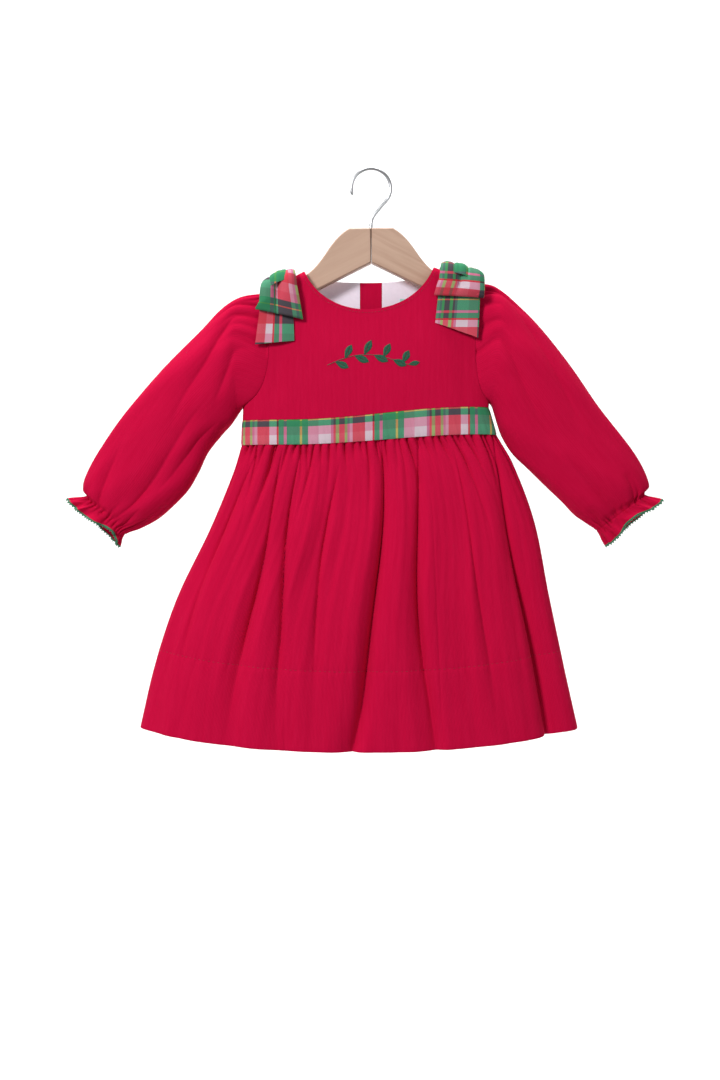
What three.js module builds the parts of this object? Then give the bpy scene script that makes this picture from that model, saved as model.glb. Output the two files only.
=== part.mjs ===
// A toddler's party dress on a wooden hanger, in millimetres.
// +Z is up, the front of the dress faces -Y, and +X is on the viewer's right when facing the front.
// The origin is where a rail touches the inside of the hanger's hook.
// Every piece of cloth is a thin closed wall: a grid of outer points, and the same grid moved in along
// its normals. Neighbouring pieces are parted by a small gap at each seam.
import * as THREE from "three";

// Driving dimensions of the cloth
const seamGap = 0.3;
const clothThickness = 1.6;
const bodiceThickness = 1.5;
const liningThickness = 0.7;
const waistbandThickness = 2.2;
const ribbonThickness = 1.2;

// Driving dimensions of the bodice
const bodiceCentreX = -5.1;
const bodiceHalfWidth = 130.5;
const bodiceRoundness = 3; // exponent of the superellipse section, 2 is an ellipse
const shoulderWrap = 12; // height over which the cloth turns over the hanger's arm
const shoulderSquareness = 3;
const shoulderShares = [0, 0.05, 0.18, 0.42, 0.7]; // columns from the tip to the neck point
const neckShares = [0, 0.012, 0.05, 0.16, 0.36, 0.64, 1]; // columns from a neck point to the centre
const sideCrowding = 0.11; // draws the columns at the waist towards the side seams
const armholeRows = 12;
const armholeShare = 0.9; // share of the bodice's height above the underarm
const armholeGap = 0.4; // as seen from the front; across the slanted seam it is nearer the seam gap
const underarmRoom = 0.3; // more of it where the sleeve turns down past the bodice's corner
const placketHalfWidth = 11.5; // the back opening overlaps by twice this

// Outline of the bodice from the front: x, z of each corner
const leftShoulderTip = [-117, -131];
const rightShoulderTip = [115, -120];
const leftNeckPoint = [-70.5, -108.2];
const rightNeckPoint = [66.3, -103.5];
const frontNeckBottom = [-5.3, -149.6];
const backNeckBottom = [-5.3, -117];
const leftUnderarm = [-135.6, -249.6];
const rightUnderarm = [125.4, -245];

// Half depth of the bodice, front to back, at heights from the shoulders to the waistband
const bodiceDepths = [
  { at: -300, depth: 22 },
  { at: -255, depth: 21.5 },
  { at: -200, depth: 19.5 },
  { at: -150, depth: 16 },
  { at: -100, depth: 14 },
];

// The waistband's edges: heights at the two side seams, and the sides' positions
const waistbandTop = { leftX: -136.1, rightX: 124.6, leftZ: -265.5, rightZ: -251.7 };
const waistbandBottom = { leftX: -137.3, rightX: 133, leftZ: -292, rightZ: -281 };
const waistbandColumns = 32;
const waistbandProud = 0.5;
const slantStart = 0.2; // the waistband climbs to the right between these shares of its width
const slantEnd = 0.95;

// The skirt from waistband (at 0) to hem (at 1): side seams, half depth and section roundness
const skirtSections = [
  { at: 0, left: -137, right: 133, depth: 21.5, roundness: 3 },
  { at: 0.1, left: -146, right: 150.5, depth: 26, roundness: 2.9 },
  { at: 0.3, left: -170, right: 173, depth: 35, roundness: 2.7 },
  { at: 0.55, left: -205, right: 188, depth: 45, roundness: 2.6 },
  { at: 0.8, left: -229.5, right: 204, depth: 52, roundness: 2.5 },
  { at: 1, left: -244, right: 218, depth: 57, roundness: 2.4 },
];
const hemSideZ = -589;
const hemSag = 20;
const skirtColumns = 56; // two to a gather
const skirtRows = [0, 0.03, 0.08, 0.15, 0.25, 0.38, 0.53, 0.68, 0.84, 1];
const gatherHeight = 1.7;
const gatherReach = 0.16; // share of the skirt's length over which a gather fades out

// The skirt's largest folds, as troughs: x where each passes the waist, the middle and the hem, the
// shares of the length where it starts and ends, depth and half width in mm
const frontFolds = [
  { waistX: -114, middleX: -178, hemX: -205, start: 0, end: 1.6, depth: 7, width: 11 },
  { waistX: -90, middleX: -121, hemX: -152, start: 0, end: 1.6, depth: 10, width: 10 },
  { waistX: -73, middleX: -93, hemX: -96, start: 0, end: 1.6, depth: 11, width: 10 },
  { waistX: -30, middleX: -55, hemX: -64, start: 0.06, end: 0.9, depth: 6, width: 9 },
  { waistX: 12, middleX: 5, hemX: -21, start: -0.05, end: 1.8, depth: 15, width: 11 },
  { waistX: 50, middleX: 49, hemX: 66, start: -0.05, end: 1.8, depth: 13, width: 11 },
  { waistX: 82, middleX: 112, hemX: 128, start: 0, end: 1.2, depth: 5, width: 11 },
  { waistX: 127, middleX: 156, hemX: 188, start: -0.05, end: 1.7, depth: 14, width: 10 },
];
const backFolds = [
  { waistX: -105, middleX: -150, hemX: -184, start: 0, end: 1.6, depth: 9, width: 11 },
  { waistX: -66, middleX: -92, hemX: -118, start: 0, end: 1.8, depth: 12, width: 11 },
  { waistX: -32, middleX: -48, hemX: -70, start: 0.05, end: 1.3, depth: 8, width: 10 },
  { waistX: -4, middleX: -8, hemX: -14, start: -0.05, end: 1.8, depth: 14, width: 11 },
  { waistX: 30, middleX: 36, hemX: 36, start: 0.02, end: 1.4, depth: 9, width: 10 },
  { waistX: 62, middleX: 78, hemX: 88, start: 0, end: 1.8, depth: 13, width: 11 },
  { waistX: 100, middleX: 128, hemX: 146, start: 0, end: 1.4, depth: 10, width: 10 },
];

// The sleeves from armhole to ruffle edge: outer and inner edge as seen from the front, half depth
const leftSleeveSections = [
  { outerX: -117, outerZ: -131, innerX: -135.6, innerZ: -249.6, depth: 17 },
  { outerX: -142, outerZ: -136, innerX: -139.5, innerZ: -257, depth: 20 },
  { outerX: -161, outerZ: -149.5, innerX: -147, innerZ: -268.5, depth: 22 },
  { outerX: -181, outerZ: -170, innerX: -158, innerZ: -279.5, depth: 23 },
  { outerX: -222, outerZ: -211.5, innerX: -172.5, innerZ: -298, depth: 23 },
  { outerX: -258, outerZ: -254, innerX: -182.5, innerZ: -320, depth: 22 },
  { outerX: -286, outerZ: -296, innerX: -196, innerZ: -343, depth: 21 },
  { outerX: -302, outerZ: -325, innerX: -220, innerZ: -366, depth: 19 },
  { outerX: -306, outerZ: -338, innerX: -243.5, innerZ: -379, depth: 15 },
  { outerX: -302, outerZ: -345, innerX: -261, innerZ: -385.5, depth: 10.5 },
  { outerX: -319.5, outerZ: -349.5, innerX: -267.5, innerZ: -397, depth: 15 },
];
const rightSleeveSections = [
  { outerX: 115, outerZ: -120, innerX: 125.4, innerZ: -245, depth: 17 },
  { outerX: 135, outerZ: -125.5, innerX: 129, innerZ: -253, depth: 20 },
  { outerX: 156.5, outerZ: -143.5, innerX: 133.5, innerZ: -268.5, depth: 22 },
  { outerX: 180.5, outerZ: -168, innerX: 139, innerZ: -282.5, depth: 23 },
  { outerX: 213, outerZ: -210, innerX: 151, innerZ: -301.5, depth: 23 },
  { outerX: 242, outerZ: -252, innerX: 170, innerZ: -320.5, depth: 22 },
  { outerX: 273.5, outerZ: -294, innerX: 193.5, innerZ: -344, depth: 21 },
  { outerX: 289, outerZ: -319, innerX: 212.5, innerZ: -363, depth: 19 },
  { outerX: 295, outerZ: -334, innerX: 227, innerZ: -374, depth: 15 },
  { outerX: 290, outerZ: -343, innerX: 239, innerZ: -381.5, depth: 10.5 },
  { outerX: 306.5, outerZ: -350, innerX: 250, innerZ: -396, depth: 15 },
];
const sleeveRoundness = 2.3;
const sleeveRows = [0, 0.35, 0.9, 1.7, 2.6, 3.5, 4.5, 5.5, 6.5, 7.4, 8.2, 9, 9.5, 10];
const elasticRow = 9;
const headGatherHeight = 1.5;
const wristGatherHeight = 1.3;
const ruffleWaveHeight = 2.6;

// The sleeves' largest folds: angle round the sleeve from its outer edge over the front, in degrees, at
// the two ends, the sections between which each runs, and its depth in mm and half width in degrees
const leftSleeveFolds = [
  { from: 0.4, to: 5.2, angleFrom: 42, angleTo: 96, depth: 6, width: 14 },
  { from: 3, to: 8, angleFrom: 105, angleTo: 128, depth: 5, width: 13 },
  { from: 5.8, to: 9, angleFrom: 58, angleTo: 66, depth: 5, width: 12 },
  { from: 1, to: 6, angleFrom: 300, angleTo: 255, depth: 6, width: 14 },
  { from: 4.5, to: 9, angleFrom: 235, angleTo: 225, depth: 5, width: 13 },
];
const rightSleeveFolds = [
  { from: 0.4, to: 4.5, angleFrom: 50, angleTo: 84, depth: 6, width: 14 },
  { from: 1.2, to: 6.5, angleFrom: 100, angleTo: 122, depth: 6, width: 14 },
  { from: 5, to: 9, angleFrom: 92, angleTo: 112, depth: 5, width: 12 },
  { from: 1, to: 6, angleFrom: 305, angleTo: 262, depth: 6, width: 14 },
  { from: 4.5, to: 9, angleFrom: 240, angleTo: 232, depth: 5, width: 13 },
];
const edgingDepth = 2;
const edgingProud = 0.2;

// The bows hang over the shoulders. Corners of loop and tail as seen from the front: x where they
// leave the knot, x and z where they end, on the neck's side and on the sleeve's side
const leftBow = {
  name: "bow_left", fullness: 4.5, crease: 3.2,
  loop: { neckX: -82, tipX: -114, endNeckX: -71.5, endTipX: -121, endNeckZ: -159.5, endTipZ: -149 },
  tail: { neckX: -84, tipX: -112, endNeckX: -80.5, endTipX: -121.5, endNeckZ: -183, endTipZ: -187 },
};
const rightBow = {
  name: "bow_right", fullness: 5, crease: 0,
  loop: { neckX: 75, tipX: 119, endNeckX: 66, endTipX: 118, endNeckZ: -134, endTipZ: -137 },
  tail: { neckX: 76, tipX: 116, endNeckX: 67, endTipX: 112, endNeckZ: -164, endTipZ: -180 },
};
const bowWrap = 12; // height over which the ribbon turns over the shoulder
const bowTurnShare = 0.4; // share of the ribbon's way that the turn takes
const overSleeve = { out: 6, up: 3.5 }; // extra room at the sleeve head's gathers
const tailClearance = 1.8;
const loopClearance = 3.1;
const loopHollow = 3.1;
const knotShares = [0.26, 0.42, 0.58, 0.74];
const knotReach = 0.34;

// The hanger: half outline of its upper edge, flat top, slope of its arms and thickness
const hangerTopZ = -62;
const hangerTopHalf = 23;
const hangerArmSlope = 0.493;
const hangerNotchZ = -98.5;
const hangerArmDepth = 21.5; // top to bottom edge, measured straight down
const hangerTilt = 0.5; // degrees, its right arm up
const hangerArmStart = 70.5; // beyond this the upper edge runs straight
const hangerEnd = 126;
const hangerThickness = 12;
const hangerBevel = 1.2;
const mitreGap = 0.3;

// The wire hook: its bend sits on the origin
const hookWireRadius = 1.9;
const hookBendRadius = 19;
const hookNoseDegrees = 200; // where the wire ends, counted from the shank's side
const hookShankBend = 12;

// The buttons and the blank label
const buttonRadius = 5.5;
const buttonThickness = 2.4;
const buttonHeights = [-138, -200];
const labelSize = { left: 31, right: 67, top: -134, bottom: -155, thickness: 0.5 };

const colours = {
  corduroy: 0xbc1040,
  lining: 0xe6dbe8,
  plaid: 0xc98f80,
  edging: 0x2f8560,
  wood: 0xc9a48f,
  steel: 0xb9bcc0,
  button: 0xb3123c,
  label: 0xa9d9cf,
};

const group = new THREE.Group();

function addMesh(name, geometry, colour, roughness = 0.9, metalness = 0) {
  const material = new THREE.MeshStandardMaterial({ color: colour, roughness, metalness });
  const mesh = new THREE.Mesh(geometry, material);
  mesh.name = name;
  group.add(mesh);
  return mesh;
}

// Small functions of one number
const mix = (a, b, t) => a + (b - a) * t;
const clamp01 = (t) => Math.min(1, Math.max(0, t));
const smooth = (t) => clamp01(t) ** 2 * (3 - 2 * clamp01(t));
const signedPower = (value, power) => Math.sign(value) * Math.abs(value) ** power;
const bell = (distance, width) => Math.exp(-((distance / width) ** 2));

// Value of one column of a table at a place between its rows, by cubic Hermite interpolation
function lookUp(table, column, place) {
  const rising = table[0].at < table[table.length - 1].at;
  const rows = rising ? table : [...table].reverse();
  const x = Math.min(rows[rows.length - 1].at, Math.max(rows[0].at, place));
  let i = 0;
  while (i < rows.length - 2 && x > rows[i + 1].at) i += 1;
  const slopeAt = (k) => {
    const low = rows[Math.max(0, k - 1)];
    const high = rows[Math.min(rows.length - 1, k + 1)];
    return (high[column] - low[column]) / (high.at - low.at);
  };
  const span = rows[i + 1].at - rows[i].at;
  const t = (x - rows[i].at) / span;
  const startSlope = (t ** 3 - 2 * t ** 2 + t) * span * slopeAt(i);
  const start = (2 * t ** 3 - 3 * t ** 2 + 1) * rows[i][column] + startSlope;
  const end = (3 * t ** 2 - 2 * t ** 3) * rows[i + 1][column] + (t ** 3 - t ** 2) * span * slopeAt(i + 1);
  return start + end;
}

// A closed wall from rows of { point, normal }: the outer skin is the points, the inner skin lies one
// thickness behind them. With closed, each row is a ring.
function wall(rows, thickness, closed = false) {
  const columns = rows[0].length;
  const skin = rows.length * columns;
  const positions = [];
  for (const inward of [0, thickness]) {
    for (const { point, normal } of rows.flat()) {
      positions.push(...point.clone().addScaledVector(normal, -inward).toArray());
    }
  }
  const outer = (row, column) => row * columns + (column % columns);
  const inner = (row, column) => skin + outer(row, column);
  const triangles = [];
  const quad = (a, b, c, d) => triangles.push(a, b, c, a, c, d);
  const lastRow = rows.length - 1;
  const cells = closed ? columns : columns - 1;
  for (let column = 0; column < cells; column += 1) {
    for (let row = 0; row < lastRow; row += 1) {
      quad(outer(row, column), outer(row + 1, column), outer(row + 1, column + 1), outer(row, column + 1));
      quad(inner(row, column), inner(row, column + 1), inner(row + 1, column + 1), inner(row + 1, column));
    }
    quad(outer(0, column), outer(0, column + 1), inner(0, column + 1), inner(0, column));
    const next = column + 1;
    quad(outer(lastRow, column), inner(lastRow, column), inner(lastRow, next), outer(lastRow, next));
  }
  for (let row = 0; row < lastRow && !closed; row += 1) {
    quad(outer(row, 0), inner(row, 0), inner(row + 1, 0), outer(row + 1, 0));
    quad(outer(row, cells), outer(row + 1, cells), inner(row + 1, cells), inner(row, cells));
  }
  const geometry = new THREE.BufferGeometry();
  geometry.setAttribute("position", new THREE.Float32BufferAttribute(positions, 3));
  geometry.setIndex(triangles);
  return facingOut(geometry);
}

// Turns every triangle round if the closed geometry holds a negative volume
function facingOut(geometry) {
  const position = geometry.getAttribute("position");
  const index = geometry.getIndex().array;
  const corner = (k) => new THREE.Vector3().fromBufferAttribute(position, index[k]);
  let volume = 0;
  for (let k = 0; k < index.length; k += 3) {
    volume += corner(k).dot(corner(k + 1).cross(corner(k + 2)));
  }
  if (volume < 0) {
    for (let k = 0; k < index.length; k += 3) {
      [index[k + 1], index[k + 2]] = [index[k + 2], index[k + 1]];
    }
  }
  return geometry;
}

// A copy of a grid moved along its normals, out for a positive distance
function moved(rows, distance) {
  return rows.map((row) =>
    row.map(({ point, normal }) => ({ point: point.clone().addScaledVector(normal, distance), normal })),
  );
}

// The bodice's surface. side is -1 for the front and 1 for the back.

const shoulderLines = [
  { neck: leftNeckPoint, tip: leftShoulderTip },
  { neck: rightNeckPoint, tip: rightShoulderTip },
];

// Height of the shoulder line, carried on past the neck and the tips, at a given x
function shoulderHeight(x) {
  const { neck, tip } = shoulderLines[x < bodiceCentreX ? 0 : 1];
  return mix(neck[1], tip[1], (x - neck[0]) / (tip[0] - neck[0]));
}

// Half depth of the bodice at a point seen from the front: a superellipse across the body, which
// closes over the hanger's arm below the shoulder line
function bodiceDepth(x, z) {
  const across = Math.min(1, Math.abs(x - bodiceCentreX) / bodiceHalfWidth);
  const sides = (1 - across ** bodiceRoundness) ** (1 / bodiceRoundness);
  const below = clamp01((shoulderHeight(x) - z) / shoulderWrap);
  const over = (1 - (1 - below) ** shoulderSquareness) ** (1 / shoulderSquareness);
  return lookUp(bodiceDepths, "depth", z) * sides * over;
}

function bodiceNormal(x, z, side, edge) {
  if (edge === "side") return new THREE.Vector3(Math.sign(x - bodiceCentreX), 0, 0);
  if (edge === "shoulder") {
    const { neck, tip } = shoulderLines[x < bodiceCentreX ? 0 : 1];
    const slope = (tip[1] - neck[1]) / (tip[0] - neck[0]);
    return new THREE.Vector3(-slope, 0, 1).normalize();
  }
  const step = 0.6;
  const slopeX = (bodiceDepth(x + step, z) - bodiceDepth(x - step, z)) / (2 * step);
  const slopeZ = (bodiceDepth(x, z + step) - bodiceDepth(x, z - step)) / (2 * step);
  return new THREE.Vector3(-slopeX, side, -slopeZ).normalize();
}

function bodicePoint([x, z], side, edge) {
  const depth = edge ? 0 : bodiceDepth(x, z);
  return {
    point: new THREE.Vector3(x, side * (depth + seamGap / 2), z),
    normal: bodiceNormal(x, z, side, edge),
  };
}

// Outline curves as seen from the front
const flat = (x, z) => new THREE.Vector2(x, z);
const leftArmhole = new THREE.CubicBezierCurve(
  flat(...leftShoulderTip), flat(-100, -190), flat(-106, -240), flat(...leftUnderarm),
);
const rightArmhole = new THREE.CubicBezierCurve(
  flat(...rightShoulderTip), flat(106, -185), flat(107, -237), flat(...rightUnderarm),
);

// Points near both ends of an armhole lie closer together, where the cloth turns
const armholeSteps = Array.from({ length: armholeRows + 1 }, (_, row) =>
  (1 - Math.cos((Math.PI * row) / armholeRows)) / 2,
);

function neckCurves(bottom, fullness) {
  const [leftX, leftZ] = leftNeckPoint;
  const [rightX, rightZ] = rightNeckPoint;
  const [bottomX, bottomZ] = bottom;
  return [
    new THREE.CubicBezierCurve(
      flat(leftX, leftZ), flat(mix(leftX, bottomX, 0.17), mix(leftZ, bottomZ, fullness)),
      flat(mix(leftX, bottomX, 0.6), bottomZ), flat(bottomX, bottomZ),
    ),
    new THREE.CubicBezierCurve(
      flat(bottomX, bottomZ), flat(mix(rightX, bottomX, 0.58), bottomZ),
      flat(mix(rightX, bottomX, 0.17), mix(rightZ, bottomZ, fullness)), flat(rightX, rightZ),
    ),
  ];
}

// Height of a waistband edge at a given x
function waistbandHeight(edge, x) {
  const share = (x - edge.leftX) / (edge.rightX - edge.leftX);
  return mix(edge.leftZ, edge.rightZ, smooth((share - slantStart) / (slantEnd - slantStart)));
}

// The top edge of a bodice panel: shoulder, neck, shoulder
function bodiceTopEdge(curves) {
  const shoulderPoints = (tip, neck) =>
    shoulderShares.map((share) => ({ at: lerpPair(tip, neck, share), edge: "shoulder" }));
  const onNeck = (curve, t) => ({ at: curve.getPoint(t).toArray(), edge: null });
  const points = [
    ...shoulderPoints(leftShoulderTip, leftNeckPoint),
    ...neckShares.map((t) => onNeck(curves[0], t)),
    ...neckShares.slice(0, -1).reverse().map((t) => onNeck(curves[1], 1 - t)),
    ...shoulderPoints(rightShoulderTip, rightNeckPoint).reverse(),
  ];
  points[shoulderShares.length].edge = "shoulder";
  points[points.length - 1 - shoulderShares.length].edge = "shoulder";
  return points;
}

function lerpPair(a, b, t) {
  return [mix(a[0], b[0], t), mix(a[1], b[1], t)];
}

// A bodice panel between its four edges (a Coons patch), as rows of grid points from neck to waist
function bodiceGrid(side, neckBottom, fullness) {
  const top = bodiceTopEdge(neckCurves(neckBottom, fullness));
  const columns = top.length - 1;
  const waistAt = (across) => {
    const x = mix(waistbandTop.leftX, waistbandTop.rightX, across);
    return [x, waistbandHeight(waistbandTop, x)];
  };
  const crowded = (across) => across - sideCrowding * Math.sin(2 * Math.PI * across);
  const rows = [];
  for (let row = 0; row <= armholeRows + 1; row += 1) {
    const belowArmhole = row > armholeRows;
    const t = belowArmhole ? 1 : armholeSteps[row];
    const down = belowArmhole ? 1 : t * armholeShare;
    const left = belowArmhole ? waistAt(0) : leftArmhole.getPoint(t).toArray();
    const right = belowArmhole ? waistAt(1) : rightArmhole.getPoint(t).toArray();
    rows.push(
      top.map(({ at, edge }, column) => {
        const across = column / columns;
        const bottom = waistAt(crowded(across));
        const place = [0, 1].map((axis) => {
          const leftShift = left[axis] - mix(top[0].at[axis], waistAt(0)[axis], down);
          const rightShift = right[axis] - mix(top[columns].at[axis], waistAt(1)[axis], down);
          return mix(at[axis], bottom[axis], down) + mix(leftShift, rightShift, across);
        });
        const atSide = row >= armholeRows && (column === 0 || column === columns);
        const edgeKind = atSide ? "side" : row === 0 ? edge : null;
        return bodicePoint(place, side, edgeKind);
      }),
    );
  }
  return rows;
}

const frontGrid = bodiceGrid(-1, frontNeckBottom, 0.68);
const backGrid = bodiceGrid(1, backNeckBottom, 0.8);

// A vertical edge at a fixed x cut into the back grid, as a column of grid points
function cutColumn(rows, x) {
  return rows.map((row) => {
    const right = row.findIndex(({ point }) => point.x > x);
    const [a, b] = [row[right - 1], row[right]];
    const t = (x - a.point.x) / (b.point.x - a.point.x);
    const z = mix(a.point.z, b.point.z, t);
    return bodicePoint([x, z], 1, null);
  });
}

// The columns of a grid left or right of a vertical cut, with the cut as their edge
function beside(rows, x, keepLeft) {
  const cut = cutColumn(rows, x);
  const clearOfCut = 2.5;
  return rows.map((row, i) => {
    const kept = row.filter((_, column) => {
      const highest = rows[0][column].point.x;
      return keepLeft ? highest < x - clearOfCut : highest > x + clearOfCut;
    });
    return keepLeft ? [...kept, cut[i]] : [cut[i], ...kept];
  });
}

function addBodice() {
  addMesh("bodice_front", wall(frontGrid, bodiceThickness), colours.corduroy);
  const opening = placketHalfWidth;
  addMesh("bodice_back_left", wall(beside(backGrid, opening, true), bodiceThickness), colours.corduroy);
  const rightBack = beside(backGrid, opening + seamGap, false);
  addMesh("bodice_back_right", wall(rightBack, bodiceThickness), colours.corduroy);
}

// The back's lining lies behind its two panels, and stops above the waistband
function addLinings() {
  const behind = -(bodiceThickness + seamGap);
  const back = backGrid.slice(0, armholeRows - 1);
  const gap = placketHalfWidth + seamGap;
  const left = moved(beside(back, -gap, true), behind);
  const right = moved(beside(back, gap, false), behind);
  addMesh("lining_back_left", wall(left, liningThickness), colours.lining);
  addMesh("lining_back_right", wall(right, liningThickness), colours.lining);
}

// The placket is a strip of corduroy inside the centre back, between the two linings
function addPlacket() {
  const places = [-placketHalfWidth, 0, placketHalfWidth];
  const strips = places.map((x) => cutColumn(backGrid, x));
  const rows = backGrid.slice(0, armholeRows).map((_, row) => strips.map((strip) => strip[row]));
  const placketRows = moved(rows, -(bodiceThickness + seamGap));
  addMesh("back_placket", wall(placketRows, liningThickness), colours.corduroy);
}

// The label lies on the inside of the right back lining
function addLabel() {
  const behind = -(bodiceThickness + liningThickness + 2 * seamGap + 0.3);
  const steps = [0, 1 / 3, 2 / 3, 1];
  const rows = [labelSize.top, labelSize.bottom].map((z) =>
    steps.map((share) => bodicePoint([mix(labelSize.left, labelSize.right, share), z], 1, null)),
  );
  addMesh("neck_label", wall(moved(rows, behind), labelSize.thickness), colours.label);
}

// A round button with a raised rim, on the outside of the back overlap
function addButtons() {
  const profile = [
    [0, 0], [buttonRadius, 0], [buttonRadius, buttonThickness * 0.75],
    [buttonRadius * 0.86, buttonThickness], [buttonRadius * 0.62, buttonThickness * 0.7],
    [0, buttonThickness * 0.7],
  ].map(([radius, height]) => new THREE.Vector2(radius, height));
  buttonHeights.forEach((z, i) => {
    const button = addMesh(`back_button_${i + 1}`, new THREE.LatheGeometry(profile, 14), colours.button, 0.4);
    const back = bodicePoint([0, z], 1, null);
    button.quaternion.setFromUnitVectors(new THREE.Vector3(0, 1, 0), back.normal);
    button.position.copy(back.point).addScaledVector(back.normal, seamGap + 0.1);
  });
}

// A point on a half ring of the skirt or waistband, a superellipse. share is the share of its length
// from the left side seam to the right one, and heightAt gives the point's height from its x.
function ringPoint(section, share, side, heightAt) {
  const { left, right, depth, roundness } = section;
  const middle = (left + right) / 2;
  const half = (right - left) / 2;
  const samples = 90;
  const outline = [];
  for (let k = 0; k <= samples; k += 1) {
    const angle = Math.PI * (1 - k / samples);
    const out = k % samples ? Math.sin(angle) ** (2 / roundness) : 0;
    outline.push(flat(middle + half * signedPower(Math.cos(angle), 2 / roundness), depth * out));
  }
  const lengths = [0];
  for (let k = 1; k <= samples; k += 1) {
    lengths.push(lengths[k - 1] + outline[k].distanceTo(outline[k - 1]));
  }
  const wanted = share * lengths[samples];
  const next = Math.max(1, lengths.findIndex((length) => length >= wanted - 1e-9));
  const part = (wanted - lengths[next - 1]) / (lengths[next] - lengths[next - 1]);
  const place = outline[next - 1].clone().lerp(outline[next], part);
  const normal = new THREE.Vector3(
    signedPower((place.x - middle) / half, roundness - 1) / half,
    (side * (place.y / depth) ** (roundness - 1)) / depth,
    0,
  ).normalize();
  const point = new THREE.Vector3(place.x, side * (place.y + seamGap / 2), heightAt(place.x));
  return { point, normal };
}

// Section of the waistband at a share of the way down it
function waistbandSection(down) {
  return {
    left: mix(waistbandTop.leftX, waistbandBottom.leftX, down),
    right: mix(waistbandTop.rightX, waistbandBottom.rightX, down),
    depth: lookUp(bodiceDepths, "depth", waistbandTop.leftZ),
    roundness: bodiceRoundness,
  };
}

function waistbandGrid(side) {
  return [0, 0.5, 1].map((down) => {
    const heightAt = (x) =>
      mix(waistbandHeight(waistbandTop, x) - seamGap, waistbandHeight(waistbandBottom, x) + seamGap, down);
    const shares = Array.from({ length: waistbandColumns + 1 }, (_, column) => column / waistbandColumns);
    return shares.map((share) => ringPoint(waistbandSection(down), share, side, heightAt));
  });
}

function addWaistband() {
  for (const [label, side] of [["front", -1], ["back", 1]]) {
    const rows = moved(waistbandGrid(side), waistbandProud);
    addMesh(`waistband_${label}`, wall(rows, waistbandThickness), colours.plaid);
  }
}

// How far a skirt panel stands in or out of its section, in mm: gathers under the waistband that
// fade out, and troughs that deepen towards the hem
function skirtRelief(folds, share, down, column, x) {
  const uneven = 0.75 + 0.25 * Math.sin(column * 2.3);
  const reach = gatherReach * (1 + 0.6 * Math.sin(column * 1.7 + 1));
  const seam = smooth(share / 0.04) * smooth((1 - share) / 0.04);
  const gather = gatherHeight * uneven * (column % 2 ? -1 : 1) * Math.exp(-((down / reach) ** 2));
  let trough = 0;
  for (const { waistX, middleX, hemX, start, end, depth, width } of folds) {
    const upper = waistX * (1 - down) * (1 - 2 * down) + middleX * 4 * down * (1 - down);
    const foldX = upper + hemX * down * (2 * down - 1);
    const along = clamp01((down - start) / (end - start));
    trough += depth * Math.sin(Math.PI * along) ** 0.8 * bell(x - foldX, width * mix(0.7, 1.25, down));
  }
  return seam * (gather - trough);
}

function skirtGrid(side, folds) {
  return skirtRows.map((down) => {
    const section = { roundness: lookUp(skirtSections, "roundness", down) };
    for (const column of ["left", "right", "depth"]) section[column] = lookUp(skirtSections, column, down);
    const row = [];
    for (let column = 0; column <= skirtColumns; column += 1) {
      const share = column / skirtColumns;
      const heightAt = (x) => {
        const fromMiddle = Math.abs((2 * (x - section.left)) / (section.right - section.left) - 1);
        const across = (x - section.left) / (section.right - section.left);
        const waistX = mix(waistbandBottom.leftX, waistbandBottom.rightX, across);
        const hem = hemSideZ - hemSag * (1 - fromMiddle ** 2.2);
        return mix(waistbandHeight(waistbandBottom, waistX), hem, down);
      };
      const place = ringPoint(section, share, side, heightAt);
      place.point.addScaledVector(place.normal, skirtRelief(folds, share, down, column, place.point.x));
      row.push(place);
    }
    return row;
  });
}

function addSkirt() {
  addMesh("skirt_front", wall(skirtGrid(-1, frontFolds), clothThickness), colours.corduroy);
  addMesh("skirt_back", wall(skirtGrid(1, backFolds), clothThickness), colours.corduroy);
}

// The sleeves. A ring's first point is on the outer edge, and it runs over the front to the inner
// edge and back over the back. sections are numbered from the armhole, and a place may lie between.
const sleeveColumns = 2 * armholeRows;

function sleeveEdges(sections) {
  const edge = (x, z) =>
    new THREE.CatmullRomCurve3(sections.map((row) => new THREE.Vector3(row[x], 0, row[z])));
  return { outer: edge("outerX", "outerZ"), inner: edge("innerX", "innerZ") };
}

function sleeveRing(sections, edges, place, column) {
  const share = place / (sections.length - 1);
  const outer = edges.outer.getPoint(share);
  const inner = edges.inner.getPoint(share);
  const numbered = sections.map((row, at) => ({ at, depth: row.depth }));
  const depth = lookUp(numbered, "depth", place);
  const angle = (2 * Math.PI * column) / sleeveColumns;
  const power = 2 / sleeveRoundness;
  const up = signedPower(Math.cos(angle), power);
  const front = signedPower(Math.abs(Math.sin(angle)) < 1e-9 ? 0 : Math.sin(angle), power);
  const half = outer.clone().sub(inner).multiplyScalar(0.5);
  const point = outer.clone().add(inner).multiplyScalar(0.5).addScaledVector(half, up);
  point.y = -depth * front;
  const steepness = signedPower(up, sleeveRoundness - 1) / half.length();
  const normal = half.clone().normalize().multiplyScalar(steepness);
  normal.y = -signedPower(front, sleeveRoundness - 1) / depth;
  return { point, normal: normal.normalize() };
}

// How near a column of the sleeve lies to the underarm, from 0 to 1 at the underarm itself. There the
// sleeve turns down past the bodice's corner, so it stands a little further off and its wall
// thickens into the sleeve.
function nearUnderarm(column) {
  const row = Math.min(column, sleeveColumns - column);
  return smooth((row - armholeRows + 4) / 3);
}

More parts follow.
